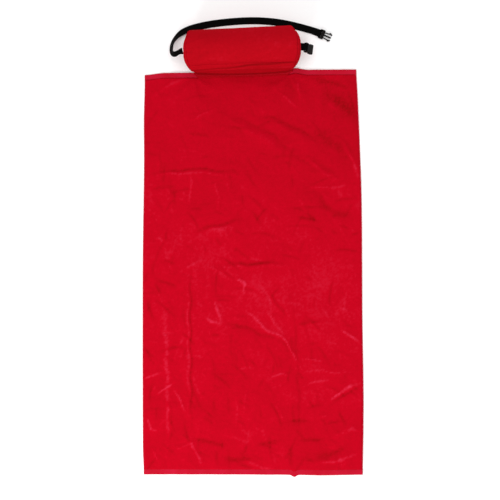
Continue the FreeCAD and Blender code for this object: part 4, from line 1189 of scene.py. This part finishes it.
def apron_upper(along, rows):
    """The part that hugs the pillow: from the upper seam down the foot side, 2.4 mm proud with soft folds."""
    share = np.linspace(1.0, 0.0, rows)[:, None]
    angle = APRON_FOOT + (APRON_TOP - APRON_FOOT) * share + 0 * along
    sag = 0.035 * np.sin(along * 16.0 + 0.6) + 0.02 * np.sin(along * 43.0)
    angle = angle + sag * share
    slant = 0.22 * along / 0.17 + 1.4 * sag  # the fold climbs from the left end to the right
    proud = 2.4 * MM - 2.2 * MM * smooth_step(share, 0.93, 1.0) + 0 * along
    fold = 2.2 * MM * bump_curve(angle - slant, math.radians(12), 0.11)
    gather = 0.5 * MM * np.sin(along * 150.0 + 3.0 * np.sin(along * 31.0)) * (1 - share)
    reach = cover_radius(along + 0 * angle, angle) + proud + fold + gather
    local = np.stack([along + 0 * angle, -reach * np.cos(angle), reach * np.sin(angle)], axis=-1)
    # painted shade in a line just above the fold, and a painted highlight on the fold's crown
    painted_crease_shade = -0.9 * bump_curve(angle - slant, math.radians(21), 0.07)
    painted_crown_highlight = 0.25 * bump_curve(angle, math.radians(12), 0.12)
    return to_world(draw_in(local)), painted_crease_shade + painted_crown_highlight


def apron_lower(top, before, rows):
    """The part from the pillow down to the seam line on the hem, and flat to the hem's inner border."""
    x = top[:, 0]
    place = x - pillow_centre[0]
    far = np.linspace(-1.0, 1.0, x.size)
    seam_x = x + 9 * MM * np.clip(-far, 0, 1) ** 8 - 3 * MM * np.clip(far, 0, 1) ** 8
    seam_y = SEWN_LINE + 0.012 * place + 0.25 * place ** 2
    seam = np.stack([seam_x, seam_y, SEWN_HEIGHT + 0 * x], axis=-1)
    slope = unit(top - before) * 16 * MM
    share = np.linspace(0.0, 1.0, rows)[1:, None, None]
    knee = seam + np.array([0.0, 0.0015, 0.010])
    curve = ((1 - share) ** 3 * top + 3 * share * (1 - share) ** 2 * (top + slope)
             + 3 * share ** 2 * (1 - share) * knee + share ** 3 * seam)
    tucked = smooth_step(np.abs(far), 0.88, 1.0) * np.sin(math.pi * share[..., 0] ** 0.8)
    curve[..., 1] += 11 * MM * tucked
    curve[..., 0] -= 5 * MM * np.sign(far) * tucked
    rounded = 1.0 - 0.75 * smooth_step(np.abs(far), 0.86, 1.0)
    border_y = seam_y - (seam_y - head_edge(x) + END_HEM + 0.5 * MM) * rounded
    border = np.stack([seam_x, border_y, np.maximum(cloth_height(x, border_y) + 1.0 * MM, 5.4 * MM)], axis=-1)
    flat_share = np.linspace(0.0, 1.0, 7)[1:, None, None]
    flat = seam * (1 - flat_share) + border * flat_share
    flat[..., 2] -= 0.8 * MM * np.sin(math.pi * flat_share[..., 0]) ** 0.5
    return np.concatenate([curve, flat], axis=0)


def apron_sheet(columns=170, upper_rows=20, lower_rows=14):
    """The whole apron as rows from the upper seam to the hem, and its nap, with painted shade and a painted
    highlight.
    """
    along = np.linspace(-APRON_HALF, APRON_HALF, columns)[None, :]
    upper, nap_and_shading = apron_upper(along, upper_rows)
    lower = apron_lower(upper[-1], upper[-2], lower_rows)
    lower_painted_shade = np.zeros(lower.shape[:2])
    # painted shade: the rows at the seam, which lie in its groove, are darkened
    lower_painted_shade[lower_rows - 3:lower_rows] = -0.95  # the rows at the seam lie in its groove
    return np.concatenate([upper, lower], axis=0), np.concatenate([nap_and_shading, lower_painted_shade], axis=0) - 0.1


apron_points, apron_nap_and_shading = apron_sheet()
flange = surface("pillow_apron_velour", apron_points[::-1], pillow_velour)
set_nap_and_shading(flange, apron_nap_and_shading[::-1])
flange_thickness = flange.modifiers.new("cloth_thickness", "SOLIDIFY")
flange_thickness.thickness = 2.0 * MM
flange_thickness.offset = -1.0
apply_modifiers(flange)
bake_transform(flange)
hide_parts("pillow_flange", "pillow_skirt")
sewn_row = apron_points[-4] + np.array([0.0, 0.0, 0.25 * MM])
stitch_row("flange_stitching_row", sewn_row[3:-3], STITCH_PITCH, 3.2 * MM, THREAD_WIDTH, red_thread, "towel",
           "flange_stitching")
middle_column = apron_points[:, apron_points.shape[1] // 2]
apron_cut = float(lengths_along(middle_column).max())
print("apron made, cut depth (m):", round(apron_cut, 3))

# %% [markdown]
# ## Buckle halves
# The buckle's shape is already right in the frame, because its fit matters there. What it lacks is the
# small radius that every moulded edge has and that catches the light. Each half is a copy of its part,
# welded into one surface, with a narrow bevel along its sharp edges.


# %% Bevelled buckle parts
def softened(node, width, body):
    """A welded, bevelled copy of a moulded part."""
    source = frame["nodes"][node]
    piece = bpy.data.objects.new(node + "_moulding", source.data.copy())
    bpy.context.scene.collection.objects.link(piece)
    piece.data.materials.clear()
    piece.data.materials.append(acetal)
    shell = bmesh.new()
    shell.from_mesh(piece.data)
    bmesh.ops.remove_doubles(shell, verts=shell.verts, dist=2e-6)
    bmesh.ops.dissolve_limit(shell, angle_limit=math.radians(1.0), verts=shell.verts, edges=shell.edges)
    shell.to_mesh(piece.data)
    shell.free()
    bevel = piece.modifiers.new("moulded_radius", "BEVEL")
    bevel.width = width
    bevel.segments = 2
    bevel.limit_method = "ANGLE"
    bevel.angle_limit = math.radians(35)
    piece.data.polygons.foreach_set("use_smooth", [False] * len(piece.data.polygons))
    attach(piece, body)
    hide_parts(node)
    return piece


plug_parts = [softened("plug_body", 0.5 * MM, "plug"),
              softened("plug_arm_left", 0.4 * MM, "plug_arm_left"),
              softened("plug_arm_right", 0.4 * MM, "plug_arm_right")]
socket = softened("buckle_socket", 0.5 * MM, "socket")
print("buckle parts:", [piece.name for piece in plug_parts + [socket]])

# %% [markdown]
# ## Stitching of the strap
# Where the webbing comes back on itself it is sewn through both layers, in two rows across. The same short
# rows hold the strap at the pillow's two ends, where they take its whole pull. They are black thread, finer
# and closer than the towel's.


# %% Strap stitching
def cross_rows(name, origin, forward, across, rows, node):
    """Rows of black stitches across a strap: rows gives how far along it each one lies from the origin."""
    reach = across * 10 * MM
    line = np.concatenate([np.linspace(origin + forward * row - reach, origin + forward * row + reach, 30)
                           for row in rows])
    return stitch_row(name, line, 2.2 * MM, 1.7 * MM, 0.6 * MM, black_thread, "pillow", node)


fold_top = 3.75 * MM
fold_origin = plug_bar + UP * (fold_top - plug_bar[2])
fold_rows = cross_rows("fold_stitching_rows", fold_origin, -plug_forward, plug_across, (20 * MM, 24 * MM),
                       "fold_stitching")
loop_origin = pillow_end + UP * 1.75 * MM
cross_rows("loop_stitching_rows", loop_origin, toward_bar, pillow_side, (3 * MM, 6 * MM), "loop_stitching")
for name, end, side, stack in (("left_strap_tack", -1, -1, 0.8), ("right_strap_tack", 1, 1, 1.7)):
    spot = pillow_centre + pillow_axis * (end * 200.5 * MM) + UP * stack * MM
    cross_rows(name + "_rows", spot, pillow_axis * side, pillow_side, (0.0, 1.2 * MM), name)
print("rows on the strap's end:", fold_rows.name)

# %% [markdown]
# ## What each soft piece is
# The strap is 25 mm webbing, 0.655 m from the pillow to the plug's bar.

# %% Soft pieces
print("declared:", long_strap.name, towel.name, flange.name)

# %% [markdown]
# ## Ground and light
# The ground is a plain, nearly white sheet of paper. A very large soft light overhead makes the even light
# of a studio table, and a smaller one from the foot end rakes across the cloth, so that creases and pile
# show and the foot of the towel is a little brighter than its head.

# %% Ground and lights
floor_material, floor_tree, floor_shader = new_material("white_paper")
feed(floor_tree, floor_shader, {"Base Color": linear("#fdfdfd"), "Roughness": 0.95})
spread = np.linspace(-6.0, 6.0, 3)
floor_grid = np.stack([*np.meshgrid(spread, spread, indexing="xy"), np.zeros((3, 3)) - 0.2 * MM], axis=-1)
floor = surface("ground", floor_grid, floor_material)


def soft_light(name, place, target, size, power):
    """A white square area light that points at a target; sizes in metres, power in watts."""
    data = bpy.data.lights.new(name, "AREA")
    data.size = size
    data.energy = power
    lamp = bpy.data.objects.new(name, data)
    direction = np.array(target) - np.array(place)
    pitch = math.atan2(math.hypot(direction[0], direction[1]), -direction[2])
    yaw = math.atan2(direction[1], direction[0])
    lamp.rotation_euler = (pitch, 0.0, yaw - math.pi / 2)
    lamp.location = place
    bpy.context.scene.collection.objects.link(lamp)


soft_light("overhead", (0.0, 0.6, 4.2), (0.0, 0.4, 0.0), 5.0, 68.0)
soft_light("foot_key", (-1.3, -2.6, 1.7), (0.0, 0.1, 0.0), 1.0, 58.0)
world = bpy.data.worlds.new("studio")
world.use_nodes = True
feed(world.node_tree, world.node_tree.nodes["Background"], {"Color": (1.0, 1.0, 1.0, 1.0), "Strength": 0.78})
bpy.context.scene.world = world
bpy.context.scene.view_settings.view_transform = "Standard"
print("lights:", len(bpy.data.lights))
